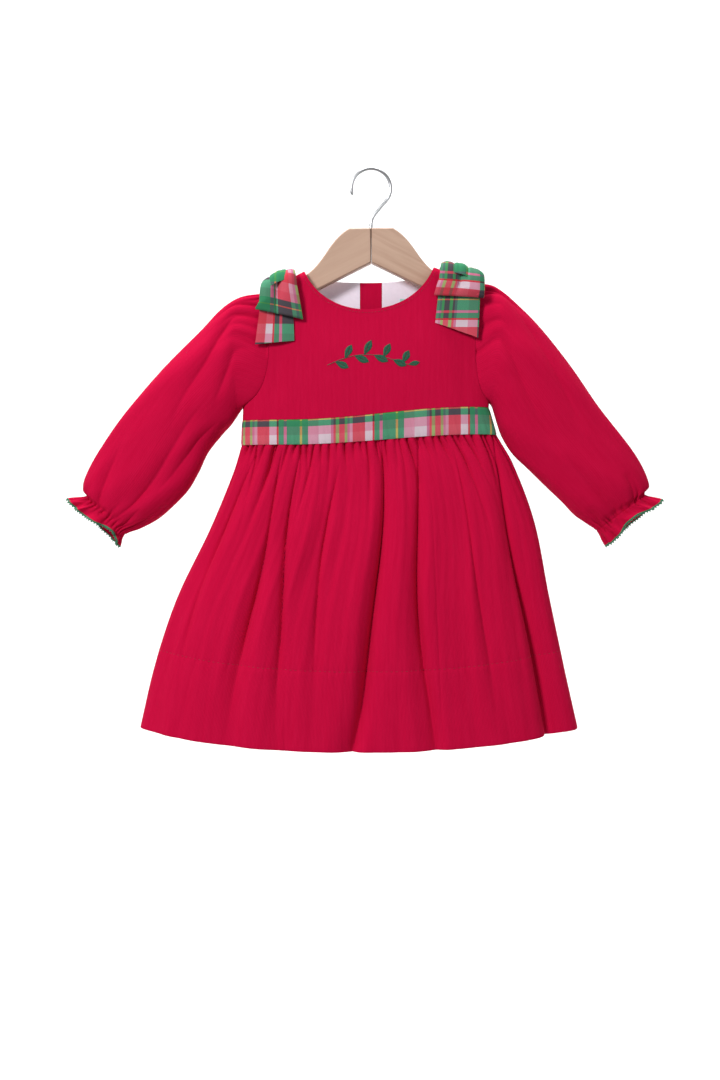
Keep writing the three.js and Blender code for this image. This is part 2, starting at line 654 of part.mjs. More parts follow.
// The ring that meets the bodice: the armhole's own edge, a gap further out
function armholeRing(armhole, outward) {
  const ring = [];
  for (let column = 0; column < sleeveColumns; column += 1) {
    const onFront = column <= armholeRows;
    const row = onFront ? column : sleeveColumns - column;
    const t = armholeSteps[row];
    const at = armhole.getPoint(t);
    const along = armhole.getTangent(t);
    const edge = row === 0 ? "shoulder" : row === armholeRows ? "side" : null;
    const side = onFront ? -1 : 1;
    const place = bodicePoint(at.toArray(), side, edge);
    if (edge) place.point.y = 0;
    const gap = armholeGap + underarmRoom * nearUnderarm(column);
    place.point.x += outward * Math.abs(along.y) * gap;
    place.point.z += outward * Math.sign(along.y) * along.x * -gap;
    ring.push(place);
  }
  return ring;
}

// Gathers at the sleeve head and the elastic, waves on the ruffle and the long folds, in mm
function sleeveRelief(folds, place, column) {
  const degrees = (360 * column) / sleeveColumns;
  const fromTop = Math.min(degrees, 360 - degrees);
  const wave = (column % 2 ? -1 : 1) * (0.8 + 0.2 * Math.sin(column * 2.1));
  const head = headGatherHeight * bell(place - 0.7, 0.7) * bell(fromTop, 70);
  const wrist = wristGatherHeight * bell(place - elasticRow, place < elasticRow ? 1.1 : 0.8);
  const ruffle = ruffleWaveHeight * smooth(place - elasticRow);
  let trough = 0;
  for (const { from, to, angleFrom, angleTo, depth, width } of folds) {
    const along = clamp01((place - from) / (to - from));
    const apart = degrees - mix(angleFrom, angleTo, along);
    trough += depth * Math.sin(Math.PI * along) * bell(apart, width);
  }
  return wave * (head + wrist + ruffle) - trough;
}

function sleeveGrid(sections, folds, armhole, outward) {
  const edges = sleeveEdges(sections);
  const seam = armholeRing(armhole, outward);
  const settled = 1.3; // sections over which the armhole's shape passes into the sleeve's own
  return sleeveRows.map((place) =>
    seam.map((start, column) => {
      const { point, normal } = sleeveRing(sections, edges, place, column);
      const first = sleeveRing(sections, edges, 0, column);
      const held = 1 - smooth(place / settled);
      point.addScaledVector(start.point.clone().sub(first.point), held);
      const seamNormal = start.normal.clone().lerp(first.normal, nearUnderarm(column));
      normal.lerp(seamNormal, held).normalize();
      if (place > 0) point.addScaledVector(normal, sleeveRelief(folds, place, column));
      return { point, normal };
    }),
  );
}

// The green edging goes on from the ruffle's edge, in line with the sleeve
function edgingGrid(grid, sections) {
  const { outerX, outerZ, innerX, innerZ } = sections.at(-1);
  const alongEdge = new THREE.Vector3(outerX - innerX, 0, outerZ - innerZ).normalize();
  const downSleeve = new THREE.Vector3(alongEdge.z * Math.sign(outerX), 0, -Math.abs(alongEdge.x));
  return [seamGap, seamGap + edgingDepth].map((distance) =>
    grid.at(-1).map(({ point, normal }) => ({
      point: point.clone().addScaledVector(downSleeve, distance),
      normal,
    })),
  );
}

function addSleeve(side, sections, folds, armhole, outward) {
  const grid = sleeveGrid(sections, folds, armhole, outward);
  addMesh(`sleeve_${side}`, wall(grid, clothThickness, true), colours.corduroy);
  const edging = moved(edgingGrid(grid, sections), edgingProud);
  addMesh(`cuff_edging_${side}`, wall(edging, clothThickness + 2 * edgingProud, true), colours.edging);
}

// A point on ribbon that lies over a shoulder. share runs across the ribbon from the neck's side, way
// along it from the top of the shoulder (0) to its end (1); clearance is its distance from the cloth.
function onShoulder(part, share, way, clearance, side) {
  const across = (neck, tip) => mix(part[neck], part[tip], share);
  const x = mix(across("neckX", "tipX"), across("endNeckX", "endTipX"), way);
  const top = shoulderHeight(x);
  const up = clearance + mix(0.4, overSleeve.up, share);
  const out = clearance + overSleeve.out * share;
  const turned = Math.min(1, way / bowTurnShare);
  const angle = (Math.PI / 2) * turned;
  const power = 2 / shoulderSquareness;
  const turnZ = top - bowWrap + (bowWrap + up) * Math.max(0, Math.cos(angle)) ** power;
  const straight = clamp01((way - bowTurnShare) / (1 - bowTurnShare));
  const z = turned < 1 ? turnZ : mix(top - bowWrap, across("endNeckZ", "endTipZ"), straight);
  const depth = bodiceDepth(x, Math.min(z, top - bowWrap)) + out;
  return new THREE.Vector3(x, side * depth * (turned < 1 ? Math.sin(angle) ** power : 1), z);
}

// Clearance of a loop's outer layer, which is fullest near the top and creased down its middle
function outerClearance(bow, share, way, side) {
  const crease = side < 0 ? bow.crease * bell(share - 0.55, 0.16) * Math.sin(Math.PI * way) : 0;
  const full = bow.fullness * Math.sin(Math.PI * mix(0.05, 0.9, way));
  return loopClearance + loopHollow + full - crease;
}

// A ring of ribbon: out along the shoulder, round the fold at its end, and back further out
function loopRing(bow, share, side) {
  const ways = [0.1, 0.24, 0.4, 0.6, 0.8, 1];
  const below = ways.map((way) => onShoulder(bow.loop, share, way, loopClearance, side));
  const above = ways.map((way) =>
    onShoulder(bow.loop, share, way, outerClearance(bow, share, way, side), side),
  );
  const ring = [...below, ...above.reverse()];
  const count = ring.length;
  const crossed = (p, q) => p.y * q.z - q.y * p.z;
  const area = ring.reduce((sum, p, i) => sum + crossed(p, ring[(i + 1) % count]), 0);
  return ring.map((point, i) => {
    const before = ring[(i + count - 1) % count];
    const after = ring[(i + 1) % count];
    const normal = new THREE.Vector3(0, after.z - before.z, before.y - after.y);
    normal.multiplyScalar(Math.sign(area));
    return { point, normal: normal.normalize() };
  });
}

// Rows of ribbon across the shoulder, from places { way, side } along it, facing away from the cloth
function ribbonRows(part, places, shares, clearanceAt) {
  const rows = places.map(({ way, side }) =>
    shares.map((share) => onShoulder(part, share, way, clearanceAt(share, way, side), side)),
  );
  return rows.map((row, i) =>
    row.map((point, column) => {
      const before = rows[Math.max(0, i - 1)][column];
      const after = rows[Math.min(rows.length - 1, i + 1)][column];
      const normal = new THREE.Vector3(0, before.z - after.z, after.y - before.y).normalize();
      if (places[i].side > 0 ? normal.y < 0 : normal.y > 0) normal.negate();
      return { point, normal };
    }),
  );
}

function addBow(bow) {
  const { name, loop, tail } = bow;
  const shares = [0, 0.18, 0.36, 0.54, 0.72, 0.86, 1];
  for (const [label, side] of [["front", -1], ["back", 1]]) {
    const rings = shares.map((share) => loopRing(bow, share, side));
    addMesh(`${name}_loop_${label}`, wall(rings, ribbonThickness, true), colours.plaid);
    const places = [0.06, 0.14, 0.24, 0.4, 0.6, 0.8, 1].map((way) => ({ way, side }));
    const rows = ribbonRows(tail, places, [0, 0.25, 0.5, 0.75, 1], () => tailClearance);
    addMesh(`${name}_tail_${label}`, wall(rows, ribbonThickness), colours.plaid);
  }
  const knotPlaces = [-1, -0.6, -0.25, 0.25, 0.6, 1].map((way) => ({
    way: Math.abs(way) * knotReach,
    side: Math.sign(way),
  }));
  const overLoops = (share, way, side) =>
    outerClearance(bow, share, way, side) + ribbonThickness + 4 * seamGap;
  const knotRows = ribbonRows(loop, knotPlaces, knotShares, overLoops);
  addMesh(`${name}_knot`, wall(knotRows, ribbonThickness), colours.plaid);
}

// The hanger's arm as seen from the front, right half: bell-shaped shoulder, straight arm, round end
function hangerArmShape() {
  const armTop = (x) => hangerNotchZ + hangerArmDepth - hangerArmSlope * x;
  const armBottom = (x) => hangerNotchZ - hangerArmSlope * x;
  const endRadius = hangerArmDepth / 2;
  const shape = new THREE.Shape();
  shape.moveTo(mitreGap / 2, hangerNotchZ);
  shape.lineTo(mitreGap / 2, hangerTopZ);
  shape.lineTo(hangerTopHalf, hangerTopZ);
  shape.bezierCurveTo(34, -68, 42, -79, 48, -88);
  shape.bezierCurveTo(54, -97, 60, -105, hangerArmStart, armTop(hangerArmStart));
  shape.lineTo(hangerEnd - endRadius, armTop(hangerEnd - endRadius));
  const endTop = armTop(hangerEnd);
  const endBottom = armBottom(hangerEnd);
  shape.quadraticCurveTo(hangerEnd, endTop, hangerEnd, mix(endTop, endBottom, 0.5));
  shape.quadraticCurveTo(hangerEnd, endBottom, hangerEnd - endRadius, armBottom(hangerEnd - endRadius));
  return shape;
}

function addHanger() {
  const settings = {
    depth: hangerThickness - 2 * hangerBevel, bevelEnabled: true, bevelThickness: hangerBevel,
    bevelSize: hangerBevel, bevelOffset: -hangerBevel, bevelSegments: 1, curveSegments: 6,
  };
  for (const side of ["left", "right"]) {
    const geometry = new THREE.ExtrudeGeometry(hangerArmShape(), settings);
    geometry.translate(0, 0, hangerBevel - hangerThickness / 2);
    geometry.rotateX(Math.PI / 2);
    if (side === "left") geometry.rotateZ(Math.PI);
    geometry.translate(0, 0, -hangerTopZ);
    geometry.rotateY(THREE.MathUtils.degToRad(-hangerTilt));
    geometry.translate(0, 0, hangerTopZ);
    addMesh(`hanger_arm_${side}`, geometry, colours.wood, 0.6);
  }
}

// The hook's wire: a straight shank out of the wood, a bend back over it and the open nose
function hookPath() {
  const bend = hookBendRadius + hookWireRadius;
  const centreZ = -hookBendRadius;
  const points = [];
  points.push(new THREE.Vector3(0, 0, hangerTopZ + seamGap));
  points.push(new THREE.Vector3(0, 0, hangerTopZ + hookShankBend * 0.6));
  points.push(new THREE.Vector3(bend * 0.35, 0, centreZ - bend * 1.12));
  for (let degrees = -50; degrees <= hookNoseDegrees; degrees += 10) {
    const angle = THREE.MathUtils.degToRad(degrees);
    points.push(new THREE.Vector3(bend * Math.cos(angle), 0, centreZ + bend * Math.sin(angle)));
  }
  return new THREE.CatmullRomCurve3(points);
}

function addHook() {
  const sides = 8;
  const section = new THREE.Shape();
  section.absarc(0, 0, hookWireRadius, 0, Math.PI * 2);
  const settings = { steps: 44, bevelEnabled: false, extrudePath: hookPath(), curveSegments: sides };
  addMesh("hanger_hook", new THREE.ExtrudeGeometry(section, settings), colours.steel, 0.3, 1);
}

addBodice();
addLinings();
addPlacket();
addLabel();
addButtons();
addWaistband();
addSkirt();
addSleeve("left", leftSleeveSections, leftSleeveFolds, leftArmhole, -1);
addSleeve("right", rightSleeveSections, rightSleeveFolds, rightArmhole, 1);
addBow(leftBow);
addBow(rightBow);
addHanger();
addHook();

export default group;
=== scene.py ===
import math

import bpy
import numpy as np
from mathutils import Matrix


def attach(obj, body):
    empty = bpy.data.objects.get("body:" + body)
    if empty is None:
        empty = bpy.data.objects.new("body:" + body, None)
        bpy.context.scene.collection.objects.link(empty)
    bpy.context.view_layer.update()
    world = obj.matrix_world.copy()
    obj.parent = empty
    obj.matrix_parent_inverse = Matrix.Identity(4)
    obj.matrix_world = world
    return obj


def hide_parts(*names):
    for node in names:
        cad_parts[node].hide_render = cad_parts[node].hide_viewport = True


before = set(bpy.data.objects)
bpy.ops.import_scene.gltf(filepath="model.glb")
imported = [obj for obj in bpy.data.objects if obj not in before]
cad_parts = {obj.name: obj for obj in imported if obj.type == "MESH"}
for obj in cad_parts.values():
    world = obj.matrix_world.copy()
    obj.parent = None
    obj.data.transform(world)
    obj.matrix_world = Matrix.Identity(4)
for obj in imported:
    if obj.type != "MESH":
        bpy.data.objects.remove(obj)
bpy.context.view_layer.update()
print("stage: frame loaded")

# Sizes in the tables are in millimetres, as a dressmaker measures; meshes are in metres
mm = 0.001
seamGap = 0.3
seamLap = 0.05  # how far two edges of cloth lap in one seam
rng = np.random.default_rng(7)

# Yarn colours are as seen over white; where two yarns cross, the darker shows most
palette = {
    "crimson": (0.545, 0.0030, 0.043),
    # Lit and shaded copies of the crimson: the lighter one is painted sheen, the darker one is painted shade
    # in the grooves between the wales and also random darker patches
    "crimsonLitSheen": (0.63, 0.0075, 0.062),
    "crimsonShadeAndMottle": (0.40, 0.0012, 0.028),
    "thread": (0.27, 0.002, 0.018),
    "green": (0.062, 0.37, 0.19),
    "coral": (0.77, 0.088, 0.135),
    "coralRed": (0.74, 0.050, 0.075),
    "pink": (0.70, 0.22, 0.37),
    "palePink": (0.78, 0.38, 0.50),
    "white": (0.82, 0.70, 0.76),
    "yellowGreen": (0.40, 0.52, 0.17),
    "yellow": (0.62, 0.55, 0.13),
    "edging": (0.022, 0.205, 0.098),
    "sprig": (0.006, 0.120, 0.062),
    "lining": (0.97, 0.88, 1.0),
    "label": (0.42, 0.80, 0.72),
    "woodPale": (0.561, 0.374, 0.276),
    "woodDark": (0.425, 0.255, 0.178),
    # near black for the dark line in the hanger's mitre
    "mitreDark": (0.10, 0.055, 0.035),
    "steel": (0.62, 0.63, 0.65),
}


# Small functions of arrays

def smooth(t):
    t = np.clip(t, 0, 1)
    return t * t * (3 - 2 * t)


def mix(a, b, t):
    return a + (b - a) * t


def bell(distance, width):
    return np.exp(-((distance / width) ** 2))


# A sharp crease: 1 at its line, falling away steeply on both sides, rounded only at the very line
def sharp(distance, width):
    core = 0.3 * width
    return np.exp(-(np.sqrt(distance * distance + core * core) - core) / width)


def signedPower(value, exponent):
    return np.sign(value) * np.abs(value) ** exponent


def unit(vectors):
    return vectors / np.maximum(np.linalg.norm(vectors, axis=-1, keepdims=True), 1e-9)


# How far along a path each of its points lies
def lengthsAlong(path):
    return np.concatenate([[0], np.cumsum(np.linalg.norm(np.diff(path, axis=0), axis=1))])


def pointsAt(path, reached, at):
    return np.stack([np.interp(at, reached, path[:, k]) for k in range(path.shape[1])], axis=-1)


def tableOf(columns, rows):
    return [dict(zip(columns, row)) for row in rows]


# Value of one column of a table between its rows, by cubic Hermite interpolation
def lookUp(table, column, place, key="at"):
    rows = sorted(table, key=lambda row: row[key])
    at = np.array([row[key] for row in rows], float)
    value = np.array([row[column] for row in rows], float)
    last = len(rows) - 1
    low = np.maximum(np.arange(len(rows)) - 1, 0)
    high = np.minimum(np.arange(len(rows)) + 1, last)
    slope = (value[high] - value[low]) / (at[high] - at[low])
    x = np.clip(place, at[0], at[-1])
    i = np.clip(np.searchsorted(at, x, side="right") - 1, 0, last - 1)
    span = at[i + 1] - at[i]
    t = (x - at[i]) / span
    start = (2 * t**3 - 3 * t**2 + 1) * value[i] + (t**3 - 2 * t**2 + t) * span * slope[i]
    return start + (3 * t**2 - 2 * t**3) * value[i + 1] + (t**3 - t**2) * span * slope[i + 1]


# Every column of a table between its rows
def sectionAt(table, place):
    return {key: float(lookUp(table, key, place)) for key in table[0] if key != "at"}


# Smooth uneven waves along one number, about -1 to 1, from a few sines of unrelated lengths
def uneven(x, seed):
    shifts = np.array([0.3, 1.9, 4.1]) * (seed + 1.37)
    waves = np.sin(x + shifts[0]) + 0.7 * np.sin(1.73 * x + shifts[1]) + 0.5 * np.sin(2.91 * x + shifts[2])
    return waves / 1.6


# Cloth from a grid of points: an outer skin, the same grid one thickness in, and a rim between them

def gridFaces(index, closed):
    if closed:
        index = np.concatenate([index, index[:, :1]], axis=1)
    corners = (index[:-1, :-1], index[1:, :-1], index[1:, 1:], index[:-1, 1:])
    return np.stack(corners, axis=-1).reshape(-1, 4)


def uvFaces(uv):
    corners = (uv[:-1, :-1], uv[1:, :-1], uv[1:, 1:], uv[:-1, 1:])
    return np.stack(corners, axis=-2).reshape(-1, 4, 2)


def meshObject(name, vertices, faces, faceUv, material, sharpAngle=50):
    mesh = bpy.data.meshes.new(name)
    mesh.from_pydata(vertices.tolist(), [], faces.tolist())
    layer = mesh.uv_layers.new(name="cloth")
    layer.data.foreach_set("uv", np.asarray(faceUv, np.float32).ravel())
    mesh.polygons.foreach_set("use_smooth", np.ones(len(faces), bool))
    mesh.set_sharp_from_angle(angle=math.radians(sharpAngle))
    mesh.materials.append(material)
    obj = bpy.data.objects.new(name.replace(" ", "-"), mesh)
    bpy.context.scene.collection.objects.link(obj)
    return obj


# Faces and their corners, turned round if they face into the piece
def facingOut(vertices, faces, faceUv):
    a, b, c, d = (vertices[faces[:, k]] for k in range(4))
    if (a * np.cross(b, c)).sum() + (a * np.cross(c, d)).sum() < 0:
        return faces[:, ::-1], faceUv[:, ::-1]
    return faces, faceUv


# A skin over a grid of points, for a material without a pattern
def skinObject(name, points, material, closed, sharpAngle):
    vertices = points.reshape(-1, 3) * mm
    faces = gridFaces(np.arange(len(vertices)).reshape(points.shape[:2]), closed)
    faces, faceUv = facingOut(vertices, faces, np.zeros((len(faces), 4, 2)))
    return meshObject(name, vertices, faces, faceUv, material, sharpAngle)


def clothObject(name, points, inward, uv, thickness, material, closed=False):
    rows, columns = points.shape[:2]
    index = np.arange(rows * columns).reshape(rows, columns)
    back = index + rows * columns
    vertices = np.concatenate([points.reshape(-1, 3), (points + inward * thickness).reshape(-1, 3)]) * mm
    faces = [gridFaces(index, closed), gridFaces(back, closed)[:, ::-1]]
    faceUv = [uvFaces(uv), uvFaces(uv)[:, ::-1]]
    rims = [(back[0], index[0], uv[0]), (index[-1], back[-1], uv[-1])]
    if not closed:
        rims += [(index[:, 0], back[:, 0], uv[:, 0]), (back[:, -1], index[:, -1], uv[:, -1])]
    for first, second, rimUv in rims:
        faces.append(gridFaces(np.stack([first, second]), closed))
        faceUv.append(uvFaces(np.stack([rimUv, rimUv])))
    faces, faceUv = facingOut(vertices, np.concatenate(faces), np.concatenate(faceUv) * mm)
    return meshObject(name, vertices, faces, faceUv, material)


# Stitches of thread: a plump rod from each start to each end, lying on the cloth along its normals

def threadObject(name, starts, ends, normals, radius, material, arch=0.4):
    stations = np.array([0, 0.12, 0.35, 0.65, 0.88, 1.0])
    girth = np.array([0.35, 0.8, 1, 1, 0.8, 0.35]) * radius
    lift = arch * radius * np.sin(np.pi * stations)
    sides = 6
    turn = 2 * np.pi * np.arange(sides) / sides
    along = unit(ends - starts)
    across = unit(np.cross(along, normals))
    up = np.cross(across, along)
    centre = starts[:, None] + (ends - starts)[:, None] * stations[:, None] + up[:, None] * lift[:, None]
    ring = across[:, None, None] * np.cos(turn)[:, None] + up[:, None, None] * np.sin(turn)[:, None]
    points = centre[:, :, None] + ring * girth[:, None, None]
    count, rings = points.shape[:2]
    index = np.arange(count * rings * sides).reshape(count, rings, sides)
    faces = []
    for side in range(sides):
        after = (side + 1) % sides
        corners = (index[:, :-1, side], index[:, 1:, side], index[:, 1:, after], index[:, :-1, after])
        faces.append(np.stack(corners, axis=-1).reshape(-1, 4))
    caps = []
    for end in (0, rings - 1):
        caps.append(index[:, end, [0, 1, 2, 3]])
        caps.append(index[:, end, [0, 3, 4, 5]])
    faces = np.concatenate(faces + caps)
    faceUv = np.zeros((len(faces), 4, 2))
    faceUv[..., 0] = np.tile([0, 1, 1, 0], (len(faces), 1)) * mm
    return meshObject(name, points.reshape(-1, 3) * mm, faces, faceUv, material, sharpAngle=80)


# Materials

def newMaterial(name):
    material = bpy.data.materials.new(name)
    material.use_nodes = True
    tree = material.node_tree
    tree.nodes.clear()
    output = tree.nodes.new("ShaderNodeOutputMaterial")
    shader = tree.nodes.new("ShaderNodeBsdfPrincipled")
    tree.links.new(shader.outputs["BSDF"], output.inputs["Surface"])
    return material, tree, shader


# Sockets by name or number: another node's output is linked, anything else is the socket's own value
def setSockets(tree, node, values):
    for name, value in values.items():
        socket = node.inputs[name]
        if isinstance(value, bpy.types.NodeSocket):
            tree.links.new(value, socket)
        else:
            socket.default_value = (*value, 1) if socket.type == "RGBA" else value


def addNode(tree, kind, values, **settings):
    node = tree.nodes.new(kind)
    for name, value in settings.items():
        setattr(node, name, value)
    setSockets(tree, node, values)
    return node


def mathNode(tree, operation, *values):
    return addNode(tree, "ShaderNodeMath", dict(enumerate(values)), operation=operation).outputs[0]


def mixColour(tree, factor, first, second, blend="MIX"):
    values = {0: factor, 6: first, 7: second}
    return addNode(tree, "ShaderNodeMix", values, data_type="RGBA", blend_type=blend).outputs[2]


def noiseNode(tree, place, scale, detail, **more):
    values = {"Vector": place, "Scale": scale, "Detail": detail, **more}
    return addNode(tree, "ShaderNodeTexNoise", values).outputs["Fac"]


def objectPlace(tree):
    return addNode(tree, "ShaderNodeTexCoord", {}).outputs["Object"]


# Place on the cloth in metres, and its two parts: X across the cloth and Y along it
def clothPlace(tree):
    place = addNode(tree, "ShaderNodeUVMap", {}, uv_map="cloth").outputs[0]
    return place, addNode(tree, "ShaderNodeSeparateXYZ", {0: place}).outputs


def stretchedPlace(tree, place, by):
    return addNode(tree, "ShaderNodeVectorMath", {0: place, 1: by}, operation="MULTIPLY").outputs[0]


# Threads or wales side by side, one to each whole number: 1 along the middle of each, 0 between them
def rounded(tree, number):
    return mathNode(tree, "ABSOLUTE", mathNode(tree, "SINE", mathNode(tree, "MULTIPLY", number, math.pi)))


# Painted shade: how much the colour darkens where a height from 0 to 1 falls short of 1
def shade(tree, height, strength):
    return mathNode(tree, "MULTIPLY", mathNode(tree, "SUBTRACT", 1.0, height), strength)


# The surface of a material: its colour, a height, and how deep in mm and how strongly the height shows
def setSurface(tree, shader, colour, height, depth, strength, values):
    bump = addNode(tree, "ShaderNodeBump", {"Strength": strength, "Distance": depth * mm, "Height": height})
    setSockets(tree, shader, {"Base Color": colour, "Normal": bump.outputs[0], **values})


# Fine wales along the cloth; its colour carries painted sheen in streaks where the nap lies unevenly, painted
# shade in the grooves between the wales, and random darker patches
def corduroyMaterial(name):
    wale = 1.25
    material, tree, shader = newMaterial(name)
    place, parts = clothPlace(tree)
    ridge = mathNode(tree, "POWER", rounded(tree, mathNode(tree, "DIVIDE", parts["X"], wale * mm)), 0.6)
    sheenStreaks = noiseNode(tree, stretchedPlace(tree, place, (420, 26, 1)), 1.0, 3.0, Roughness=0.6)
    solid = objectPlace(tree)
    fleck = noiseNode(tree, solid, 1500.0, 2.0)
    cloud = noiseNode(tree, solid, 13.0, 3.0, Roughness=0.55)
    napSheen = addNode(tree, "ShaderNodeMapRange", {0: sheenStreaks, 1: 0.3, 2: 0.7}).outputs[0]
    light, dark = palette["crimsonLitSheen"], palette["crimsonShadeAndMottle"]
    # painted sheen: streaks of the lit copy of the crimson along the wales
    lit = mixColour(tree, mathNode(tree, "MULTIPLY", napSheen, 0.4), palette["crimson"], light)
    # painted shade in the grooves between the wales
    shaded = mixColour(tree, shade(tree, ridge, 0.35), lit, dark)
    patch = mathNode(tree, "MULTIPLY", mathNode(tree, "SUBTRACT", cloud, 0.35), 0.35)
    height = mathNode(tree, "ADD", ridge, mathNode(tree, "MULTIPLY", fleck, 0.35))
    setSurface(tree, shader, mixColour(tree, patch, shaded, dark), height, 0.22, 0.8, {
        "Roughness": 0.95, "Specular IOR Level": 0.04, "Sheen Weight": 0.05, "Sheen Roughness": 0.5,
        "Sheen Tint": (1.0, 0.15, 0.3)})
    return material


warpChart = [
    ("yellowGreen", 3.3), ("coral", 6.0), ("yellowGreen", 2.8), ("pink", 2.1), ("palePink", 3.4),
    ("coral", 12.6), ("white", 8.1), ("coralRed", 1.7), ("green", 5.5), ("pink", 3.4), ("green", 13.4),
    ("yellow", 2.6), ("green", 6.4), ("palePink", 10.9), ("white", 12.9), ("pink", 2.6), ("coral", 2.6),
]
weftChart = [
    ("coral", 12.0), ("white", 7.5), ("coralRed", 2.0), ("green", 5.4), ("pink", 2.7), ("green", 11.0),
    ("yellow", 1.3), ("green", 6.3), ("palePink", 9.4), ("white", 10.5),
]


def stripes(tree, place, chart):
    period = sum(width for _, width in chart) * mm
    turn = mathNode(tree, "FRACT", mathNode(tree, "DIVIDE", place, period))
    ramp = addNode(tree, "ShaderNodeValToRGB", {0: turn})
    ramp.color_ramp.interpolation = "CONSTANT"
    stops = ramp.color_ramp.elements
    reached = 0
    for number, (colour, width) in enumerate(chart):
        stop = stops[number] if number < 1 else stops.new(reached * mm / period)
        stop.position = reached * mm / period
        stop.color = (*palette[colour], 1)
        reached += width
    stops.remove(stops[len(stops) - 1])
    return ramp.outputs[0]


# Plain weave from two charts of stripes: warp stripes lie side by side across the cloth, weft along it
def plaidMaterial(name):
    thread = 0.55
    material, tree, shader = newMaterial(name)
    _, parts = clothPlace(tree)
    warp, weft = stripes(tree, parts["X"], warpChart), stripes(tree, parts["Y"], weftChart)
    threads = [mathNode(tree, "DIVIDE", parts[axis], thread * mm) for axis in ("X", "Y")]
    over = mathNode(tree, "ADD", *(mathNode(tree, "FLOOR", number) for number in threads))
    over = mathNode(tree, "MODULO", mathNode(tree, "ABSOLUTE", over), 2.0)
    crossed = mixColour(tree, 1.0, warp, weft, "MULTIPLY")
    printed = mixColour(tree, 0.5, mixColour(tree, 1.0, warp, weft, "DARKEN"), crossed)
    woven = mixColour(tree, 0.07, printed, mixColour(tree, over, warp, weft))
    height = mathNode(tree, "MULTIPLY", *(rounded(tree, number) for number in threads))
    # painted shade: the woven colour darkens towards near black in the hollows between the threads
    dark = shade(tree, mathNode(tree, "POWER", height, 0.4), 0.35)
    setSurface(tree, shader, mixColour(tree, dark, woven, (0.05, 0.03, 0.03)), height, 0.12, 0.7,
               {"Roughness": 0.9, "Specular IOR Level": 0.1, "Sheen Weight": 0.04})
    return material


def threadMaterial(name, colour):
    material, tree, shader = newMaterial(name)
    # Painted light and shade along the twist: noise mixes a shaded copy and a lit copy of the thread's
    # colour, and also gives the bump
    twistShadeAndBump = noiseNode(tree, objectPlace(tree), 900.0, 2.0)
    dark, light = (tuple(share * value for value in colour) for share in (0.6, 1.25))
    setSurface(tree, shader, mixColour(tree, twistShadeAndBump, dark, light), twistShadeAndBump, 0.06, 1.0,
               {"Roughness": 0.55, "Specular IOR Level": 0.35, "Sheen Weight": 0.15})
    return material


def cottonMaterial(name, colour):
    material, tree, shader = newMaterial(name)
    place = objectPlace(tree)
    slub, weave = noiseNode(tree, place, 260.0, 4.0), noiseNode(tree, place, 1900.0, 1.0)
    dark = tuple(0.86 * value for value in colour)
    setSurface(tree, shader, mixColour(tree, slub, dark, colour), weave, 0.08, 1.0,
               {"Roughness": 0.8, "Specular IOR Level": 0.2, "Sheen Weight": 0.08})
    return material


# Pale wood with its grain along the hanger's arm; slope is the arm's fall in each millimetre outward
def woodMaterial(name, slope, marked):
    material, tree, shader = newMaterial(name)
    turned = {"Vector": objectPlace(tree), "Axis": (0, 1, 0), "Angle": math.atan(slope)}
    alongArm = addNode(tree, "ShaderNodeVectorRotate", turned, rotation_type="AXIS_ANGLE").outputs[0]
    stretched = stretchedPlace(tree, alongArm, (9, 60, 150))
    grain = noiseNode(tree, stretched, 1.0, 5.0, Roughness=0.62, Distortion=0.35)
    pores = noiseNode(tree, stretched, 6.0, 2.0)
    bands = addNode(tree, "ShaderNodeMapRange", {0: grain, 1: 0.38, 2: 0.68, 3: 0.0, 4: marked}).outputs[0]
    colour = mixColour(tree, bands, palette["woodPale"], palette["woodDark"])
    setSurface(tree, shader, colour, pores, 0.05, 0.5,
               {"Roughness": 0.48, "Specular IOR Level": 0.4, "Coat Weight": 0.12, "Coat Roughness": 0.3})
    return material


def plainMaterial(name, colour, values):
    material, tree, shader = newMaterial(name)
    setSockets(tree, shader, {"Base Color": colour, **values})
    return material


materials = {
    "corduroy": corduroyMaterial("crimson corduroy"),
    "plaid": plaidMaterial("woven plaid"),
    "thread": threadMaterial("crimson sewing thread", palette["thread"]),
    "edging": threadMaterial("green edging thread", palette["edging"]),
    "sprig": threadMaterial("green embroidery thread", palette["sprig"]),
    "lining": cottonMaterial("white cotton", palette["lining"]),
    "label": cottonMaterial("mint satin", palette["label"]),
    "woodLeft": woodMaterial("wood, left arm", 0.493, 0.35),
    "woodRight": woodMaterial("wood, right arm", -0.493, 0.8),
    "mitreDark": plainMaterial("mitre line", palette["mitreDark"], {"Roughness": 0.8}),
    "steel": plainMaterial("bent wire", palette["steel"], {"Metallic": 1.0, "Roughness": 0.28}),
    "button": plainMaterial("crimson button", (0.45, 0.01, 0.05), {"Roughness": 0.25, "Coat Weight": 0.4}),
}
print("stage: materials made")


# Hands a piece to the frame: it rides the one body and stands for its CAD nodes
def register(obj, slotName, *nodes):
    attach(obj, "root")
    if nodes:
        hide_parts(*nodes)
    return obj


# Bodice: a front and a back cut in two, a superellipse across the body that closes over the hanger

bodice = {
    "centreX": -5.1, "halfWidth": 130.5, "roundness": 3, "shoulderWrap": 12, "squareness": 3,
    "leftTip": (-117, -131), "rightTip": (115, -120),
    "leftNeck": (-70.5, -108.2), "rightNeck": (66.3, -103.5),
    "frontNeck": (-5.3, -149.6), "backNeck": (-5.3, -117), "leftUnderarm": (-135.6, -249.6),
    "rightUnderarm": (125.4, -245), "thickness": 1.3, "placket": 11.5,
}
bodiceDepths = tableOf(("at", "depth"), ((-300, 22), (-255, 21.5), (-200, 19.5), (-150, 16), (-100, 14)))
waistTop = {"leftX": -136.1, "rightX": 124.6, "leftZ": -265.5, "rightZ": -251.7}
waistBottom = {"leftX": -137.3, "rightX": 133, "leftZ": -292, "rightZ": -281}


